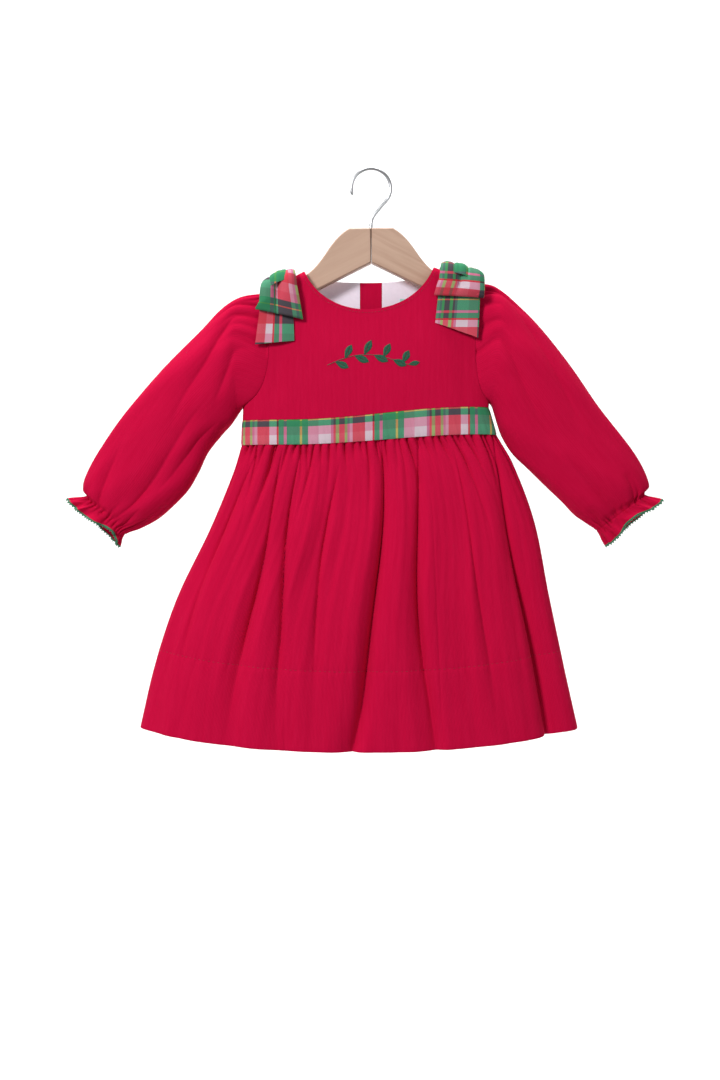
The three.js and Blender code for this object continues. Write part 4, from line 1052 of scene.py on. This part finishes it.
# The cord and the points lie beyond the ruffle's edge and into its thickness by these amounts
picot = {"thread": 0.78, "cordStep": 1.3, "cordBeyond": 0.75, "cordIn": 0.55, "pointStep": 1.75,
         "rootAbove": 0.6, "rootIn": 0.3, "point": 1.5, "longPoint": 1.9}


# Picot edge of the ruffle: a cord along the edge, and one small point of thread after another beyond it
def picotEdging(name, edge, normals):
    down = downSleeve(name)
    both = np.concatenate([edge, normals], axis=1)
    cord, points = evenly(both, picot["cordStep"]), evenly(both, picot["pointStep"])
    cordPath = cord[:, :3] + down * picot["cordBeyond"] - unit(cord[:, 3:]) * picot["cordIn"]
    facing = unit(points[:, 3:])
    root = points[:, :3] - down * picot["rootAbove"] - facing * picot["rootIn"]
    tip = root + down * (picot["point"] + picot["longPoint"] * (np.arange(len(root)) % 2))[:, None]
    starts = np.concatenate([cordPath[:-1], root])
    ends = np.concatenate([cordPath[1:] + (cordPath[1:] - cordPath[:-1]) * 0.3, tip])
    facing = np.concatenate([unit(cord[:-1, 3:]), facing])
    return threadObject("cuff edging " + name, starts, ends, facing, picot["thread"], materials["edging"],
                        arch=0.1)


for name in ("left", "right"):
    points, normals, uvs = sleeveGrid(name)
    piece = clothObject("sleeve " + name, points, -normals, uvs, sleeve["thickness"], materials["corduroy"],
                        closed=True)
    register(piece, "corduroy", "sleeve_" + name)
    edging = register(picotEdging(name, points[-1], normals[-1]), "edging", "cuff_edging_" + name)
print("stage: sleeves made")


# Bows over the shoulders: a loop and a tail at the front and at the back, and a knot across the top

bowRoom = {"wrap": 12, "turnShare": 0.4, "out": 6, "up": 3.5, "tail": 1.8, "loop": 3.1, "hollow": 3.1,
           "ribbon": 0.9, "knotReach": 0.34, "rows": 42, "columns": 40, "middleRow": 20, "foldRow": 46}
partColumns = ("neckX", "tipX", "endNeckX", "endTipX", "endNeckZ", "endTipZ")
# warp and weft: where the ribbon starts in each chart, and which way it runs through it
bows = {
    "left": {
        "fullness": 3.6, "lobe": 3.4, "crease": 3.6, "creaseShare": 0.53, "creaseWidth": 0.08,
        "creasePeak": 0.35, "creaseEnd": 0.35, "loopTuck": 12, "loopWarp": (10, 1), "loopWeft": (32.3, 1),
        "tailWarp": (62, -1), "tailWeft": (46.5, 1), "knotWarp": (50, 1), "knot": (0.25, 0.75),
        "loopFlat": (0.046, 0.094), "tailFlat": (0.037, 0.072), "knotFlat": (0.019, 0.073),
        "loop": dict(zip(partColumns, (-82, -114, -71.5, -121, -159.5, -149))),
        "tail": dict(zip(partColumns, (-84, -112, -80.5, -121.5, -183, -187))),
    },
    "right": {
        "fullness": 4.2, "lobe": 2.6, "crease": 3.8, "creaseShare": 0.46, "creaseWidth": 0.07,
        "creasePeak": 0.12, "creaseEnd": 0.0, "loopTuck": 0, "loopWarp": (17.5, -1), "loopWeft": (3.2, 1),
        "tailWarp": (17.5, -1), "tailWeft": (1, 1), "knotWarp": (48, 1), "knot": (0.30, 0.62),
        "loopFlat": (0.05, 0.077), "tailFlat": (0.043, 0.072), "knotFlat": (0.0165, 0.069),
        "loop": dict(zip(partColumns, (75, 119, 66, 118, -134, -137))),
        "tail": dict(zip(partColumns, (76, 116, 67, 112, -164, -180))),
    },
}


# A point on ribbon over a shoulder. share runs across it from the neck's side, way along it from the
# top of the shoulder (0) to its end (1); clearance is its distance from the cloth under it.
def onShoulder(part, share, way, clearance, side):
    neckX, tipX = mix(part["neckX"], part["endNeckX"], way), mix(part["tipX"], part["endTipX"], way)
    x = mix(neckX, tipX, share)
    top = shoulderHeight(x)
    up = clearance + mix(0.4, bowRoom["up"], share)
    out = clearance + bowRoom["out"] * share
    turned = np.minimum(1, way / bowRoom["turnShare"])
    angle = np.pi / 2 * turned
    power = 2 / bodice["squareness"]
    turnZ = top - bowRoom["wrap"] + (bowRoom["wrap"] + up) * np.maximum(0, np.cos(angle)) ** power
    straight = np.clip((way - bowRoom["turnShare"]) / (1 - bowRoom["turnShare"]), 0, 1)
    hanging = mix(top - bowRoom["wrap"], mix(part["endNeckZ"], part["endTipZ"], share), straight)
    z = np.where(turned < 1, turnZ, hanging)
    depth = bodiceDepth(x, np.minimum(z, top - bowRoom["wrap"])) + out
    y = side * depth * np.where(turned < 1, np.maximum(0, np.sin(angle)) ** power, 1)
    return np.stack([x, y, z], axis=-1)


# The outer layer of a loop: two plump lobes to either side of the crease that the knot pulls into it
def loopOuter(bow, share, way, side):
    middle = bow["creaseShare"] if side < 0 else 0.5
    withinLobe = np.where(share < middle, share / middle, (share - middle) / (1 - middle))
    peak = bow["creasePeak"]
    beyondPeak = mix(bow["creaseEnd"], 1, smooth((1 - way) / (1 - peak)))
    along = np.where(way < peak, smooth(0.25 + 0.75 * way / peak), beyondPeak)
    lobes = bow["lobe"] * np.sin(np.pi * withinLobe) ** 0.7 * along
    crease = bow["crease"] * sharp(share - middle, bow["creaseWidth"]) * along
    full = bow["fullness"] * np.sin(np.pi * mix(0.05, 0.9, way))
    curl = 1.4 * np.abs(2 * share - 1) ** 6
    ruck = 0.5 * uneven(share * 9 + side, 3) - 0.6 * sharp(np.sin(share * 22 + side), 0.3)
    return bowRoom["loop"] + bowRoom["hollow"] + full + lobes - crease - curl + ruck * (1 - way) ** 1.5


def gridNormals(points, away):
    alongRow = np.gradient(points, axis=1)
    alongColumn = np.gradient(points, axis=0)
    normal = unit(np.cross(alongRow, alongColumn))
    return np.where((normal * away).sum(axis=-1, keepdims=True) < 0, -normal, normal)


def plaidPlace(warp, weft, across, along):
    return np.stack(np.broadcast_arrays(warp[0] + warp[1] * across, weft[0] + weft[1] * along), axis=-1)


# One ribbon strip: down the shoulder under the loop, round the fold, and back over the top
def loopObject(name, bow, side):
    rows, middle = bowRoom["rows"], bowRoom["middleRow"]
    share = np.linspace(0, 1, bowRoom["columns"])[None]
    ways = np.linspace(0.1, 1, rows)[:, None]
    under = onShoulder(bow["loop"], share, ways, bowRoom["loop"], side)
    outer = onShoulder(bow["loop"], share, ways[::-1], loopOuter(bow, share, ways[::-1], side), side)
    bend = [under[-1] * (1 - t) + outer[0] * t - np.array([0, 0, 1.6 * math.sin(math.pi * t)])
            for t in np.linspace(0, 1, 9)[1:-1]]
    points = np.concatenate([under, np.array(bend), outer])
    normals = gridNormals(points, points - (under[middle] + outer[middle]) / 2)
    outward = normals * np.array([0, side, 0])
    toBody = outward[:rows].sum(axis=-1, keepdims=True) > 0
    intoLoop = outward[-rows:].sum(axis=-1, keepdims=True) + normals[-rows:, :, 2:3] < 0
    normals[:rows] = np.where(toBody, -normals[:rows], normals[:rows])
    normals[-rows:] = np.where(intoLoop, -normals[-rows:], normals[-rows:])
    steps = np.linalg.norm(np.diff(points, axis=0, prepend=points[:1]), axis=-1)
    along = np.cumsum(steps, axis=0)
    across = lengthsAlong(points[-1])[None] + bow["loopTuck"] * smooth((share - bow["creaseShare"]) / 0.06)
    uv = plaidPlace(bow["loopWarp"], bow["loopWeft"], across, np.abs(along - along[bowRoom["foldRow"]]))
    return clothObject(name, points, -normals, uv, bowRoom["ribbon"], materials["plaid"])


def ribbonObject(name, part, places, shares, clearances, warp, weft):
    rows = []
    for place in places:
        way, side = abs(place), np.sign(place)
        rows.append(onShoulder(part, shares, way, clearances(shares, way, side), side))
    points = np.array(rows)
    sideways = np.sign(places) * np.minimum(1, np.abs(places) * 6)
    away = np.stack([np.zeros(len(places)), sideways, 1 - np.abs(places)], axis=-1)
    normals = gridNormals(points, away[:, None] + np.zeros_like(points))
    fromEnd = points[..., 2] - points[-1, :, 2].min()
    uv = plaidPlace(warp, weft, lengthsAlong(points[-1])[None], fromEnd)
    return clothObject(name, points, -normals, uv, bowRoom["ribbon"], materials["plaid"])


def tailClearance(share, way, side):
    return bowRoom["tail"] + 0.35 * uneven(share * 6 + side, 2) * smooth((way - 0.5) / 0.3) ** 2


# The knot lies over both lobes and is rounded from edge to edge
def knotClearance(bow):
    low, high = bow["knot"]

    def clearance(share, way, side):
        offCentre = np.minimum(1, np.abs(share - (low + high) / 2) / ((high - low) / 2))
        rounding = 2.4 * np.sqrt(1 - offCentre**2) - 1.1 - 0.9 * smooth((way - 0.2) / 0.14)
        bare = bowRoom["loop"] + bowRoom["hollow"] + bow["fullness"] * np.sin(np.pi * mix(0.05, 0.9, way))
        return bare + bow["lobe"] * 0.5 + 1.2 + rounding + 0.3 * uneven(share * 24, 5)

    return clearance


for name, bow in bows.items():
    shares = np.linspace(0, 1, 34)
    for end, side in (("front", -1), ("back", 1)):
        loop = loopObject(f"{name} bow loop {end}", bow, side)
        register(loop, "plaid", f"bow_{name}_loop_{end}")
        tail = ribbonObject(f"{name} bow tail {end}", bow["tail"], side * np.linspace(0.05, 1, 44), shares,
                            tailClearance, bow["tailWarp"], bow["tailWeft"])
        register(tail, "plaid", f"bow_{name}_tail_{end}")

    knot = ribbonObject(f"{name} bow knot", bow["loop"], np.linspace(-1, 1, 46) * bowRoom["knotReach"],
                        np.linspace(*bow["knot"], 26), knotClearance(bow), bow["knotWarp"], (24, 1))
    register(knot, "plaid", f"bow_{name}_knot")
print("stage: bows made")


# Green sprig embroidered on the chest: a curved stem and leaves filled with slanting satin stitch

sprig = {"left": -46, "right": 39, "z": -209, "rise": 9, "lift": 0.35, "thread": 0.3}


def sprigStem(t):
    x = mix(sprig["left"], sprig["right"], t)
    z = sprig["z"] + sprig["rise"] * np.sin(np.pi * 1.15 * t) + 5 * t
    return x, z


def leafStitches(baseX, baseZ, degrees, length, width):
    along = np.array([math.cos(math.radians(degrees)), math.sin(math.radians(degrees))])
    across = np.array([-along[1], along[0]])
    t = np.arange(0.04, 0.99, 0.62 / length)
    half = width / 2 * np.sin(np.pi * t**0.85)
    spine = np.array([baseX, baseZ]) + along * (t * length)[:, None]
    starts, ends = [], []
    for direction in (-1, 1):
        starts.append(spine)
        ends.append(spine + (across * direction * half[:, None]) + along * (0.55 * half)[:, None])
    return np.concatenate(starts), np.concatenate(ends)


def sprigObject():
    line = np.stack(sprigStem(np.linspace(0, 1, 46)), axis=-1)
    stitches = [(line[:-1], line[1:] + (line[1:] - line[:-1]) * 0.25)]
    for number, t in enumerate(np.linspace(0.1, 0.93, 8)):
        above = 1 if number % 2 else -1
        stitches.append(leafStitches(*sprigStem(t), 20 + 44 * above, 17 - 5 * abs(t - 0.45), 7.6))
    stitches.append(leafStitches(*sprigStem(1.0), 12, 12, 5.4))
    starts, ends = (np.concatenate(places) for places in zip(*stitches))
    a, normal = bodiceSurface(starts[:, 0], starts[:, 1], -1, sprig["lift"])
    b, _ = bodiceSurface(ends[:, 0], ends[:, 1], -1, sprig["lift"] * 0.5)
    return threadObject("chest sprig", a, b, normal, sprig["thread"], materials["sprig"])


register(sprigObject(), "edging")


# Sewing that shows: a line of stitches round the neck

neckSewing = {"inset": 3.4, "spacing": 3.4, "stitch": 2.3, "lift": 0.06, "thread": 0.2}


def neckStitches(name, bottom, fullness, side):
    line = neckLine(bottom, fullness, 200)
    inwardStep = np.array([bodice["centreX"], -88]) - line
    line = line - unit(inwardStep) * neckSewing["inset"]
    line = line[(shoulderHeight(line[:, 0]) - line[:, 1]) > 2.0]
    reached = lengthsAlong(line)
    at = np.arange(1, reached[-1] - 3, neckSewing["spacing"])
    starts, ends = (pointsAt(line, reached, at + shift) for shift in (0, neckSewing["stitch"]))
    a, normal = bodiceSurface(starts[:, 0], starts[:, 1], side, neckSewing["lift"])
    b, _ = bodiceSurface(ends[:, 0], ends[:, 1], side, neckSewing["lift"])
    return threadObject(name, a, b, normal, neckSewing["thread"], materials["thread"])


register(neckStitches("neck stitches front", bodice["frontNeck"], 0.68, -1), "corduroy")
register(neckStitches("neck stitches back", bodice["backNeck"], 0.8, 1), "corduroy")
print("stage: sewing made")


# Hanger: the two arms are the frame's own solids in wood; the hook is wire bent smoothly

for name, slotMaterial in (("left", "woodLeft"), ("right", "woodRight")):
    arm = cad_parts["hanger_arm_" + name]
    arm.data.materials.clear()
    arm.data.materials.append(materials[slotMaterial])


def boxObject(name, low, high, material):
    xs, ys, zs = zip(low, high)
    corners = np.array([(x, y, z) for x in xs for y in ys for z in zs])
    faces = np.array([(0, 1, 3, 2), (4, 6, 7, 5), (0, 4, 5, 1), (2, 3, 7, 6), (0, 2, 6, 4), (1, 5, 7, 3)])
    return meshObject(name, corners * mm, faces, np.zeros((6, 4, 2)), material)


# A dark box filling the mitre gap between the two arms, so the joint shows as a dark line
mitreLine = boxObject("mitre line", (-0.12, -5.7, -98.3), (0.12, 5.7, -62.3), materials["mitreDark"])
register(mitreLine, "wood")

# The wire climbs from its foot and bends round a centre above, from 50 degrees below level to its nose
hook = {"bend": 20.9, "centreZ": -19, "wire": 1.8, "foot": -61.7, "nose": 200, "sides": 16, "rings": 130}


def hookObject():
    turn = np.radians(np.arange(-50, hook["nose"] + 1, 5))
    arcX, arcZ = hook["bend"] * np.cos(turn), hook["centreZ"] + hook["bend"] * np.sin(turn)
    lead = [(0, 0, hook["foot"]), (0, 0, -58), (0, 0, -54.5), (2.4, 0, -48.5), (7.3, 0, -42.4)]
    path = np.concatenate([np.array(lead, float), np.stack([arcX, np.zeros_like(turn), arcZ], axis=-1)])
    reached = lengthsAlong(path)
    path = pointsAt(path, reached, np.linspace(0, reached[-1], hook["rings"]))
    for _ in range(6):
        path[1:-1] = (path[:-2] + 2 * path[1:-1] + path[2:]) / 4
    side = np.cross(unit(np.gradient(path, axis=0)), [0, 1, 0])
    angle = 2 * np.pi * np.arange(hook["sides"]) / hook["sides"]
    girth = np.full(len(path), hook["wire"])
    girth[-3:] = hook["wire"] * np.array([0.9, 0.65, 0.2])
    ring = side[:, None] * np.cos(angle)[:, None] + np.array([0, 1.0, 0]) * np.sin(angle)[:, None]
    points = path[:, None] + ring * girth[:, None, None]
    return skinObject("hanger hook", points, materials["steel"], True, 70)


register(hookObject(), "steel", "hanger_hook")
print("stage: hanger made")


# Studio: a pale seamless backdrop, soft light from the upper left, and a camera square to the front

def backdropObject():
    across = np.linspace(-6, 6, 5)
    turn = np.linspace(0, np.pi / 2, 13)
    curve = [(0.9 + 0.8 * math.sin(t), -0.25 - 0.8 * math.cos(t)) for t in turn]
    points = np.array([[(x, y, z) for x in across] for y, z in [(-0.2, -1.05), *curve, (1.7, 4.0)]])
    index = np.arange(points.shape[0] * points.shape[1]).reshape(points.shape[:2])
    faces = gridFaces(index, False)
    material = plainMaterial("pale paper", (0.93, 0.93, 0.93), {"Roughness": 0.95})
    faceUv = np.zeros((len(faces), 4, 2))
    return meshObject("backdrop", points.reshape(-1, 3), faces[:, ::-1], faceUv, material)


def areaLight(name, place, target, size, power):
    data = bpy.data.lights.new(name, "AREA")
    data.size = size
    data.energy = power
    lamp = bpy.data.objects.new(name, data)
    lamp.location = place
    heading = np.array(target, float) - np.array(place, float)
    yaw = math.atan2(heading[1], heading[0]) - math.pi / 2
    pitch = math.atan2(math.hypot(heading[0], heading[1]), -heading[2])
    lamp.rotation_euler = (pitch, 0, yaw)
    bpy.context.scene.collection.objects.link(lamp)
    return lamp


view = {"place": (-0.0117, -1.5, -0.3917), "height": 1.1448}
cameraData = bpy.data.cameras.new("camera")
cameraData.sensor_fit = "VERTICAL"
cameraData.angle = 2 * math.atan(view["height"] / 2 / -view["place"][1])
camera = bpy.data.objects.new("camera", cameraData)
camera.location = view["place"]
camera.rotation_euler = (math.pi / 2, 0, 0)
bpy.context.scene.collection.objects.link(camera)
bpy.context.scene.camera = camera

stage = [
    backdropObject(),
    areaLight("key", (-1.6, -2.05, 1.0), (0, 0, -0.35), 0.7, 67),
    areaLight("fill", (1.7, -2.3, -0.2), (0, 0, -0.35), 2.0, 14),
    areaLight("backdrop light", (0, 0.4, 2.4), (0, 1.6, -0.5), 2.0, 100),
]
world = bpy.data.worlds.new("studio")
world.use_nodes = True
background = world.node_tree.nodes["Background"]
setSockets(world.node_tree, background, {"Color": (1, 1, 1), "Strength": 0.23})
bpy.context.scene.world = world
bpy.context.scene.view_settings.view_transform = "Standard"
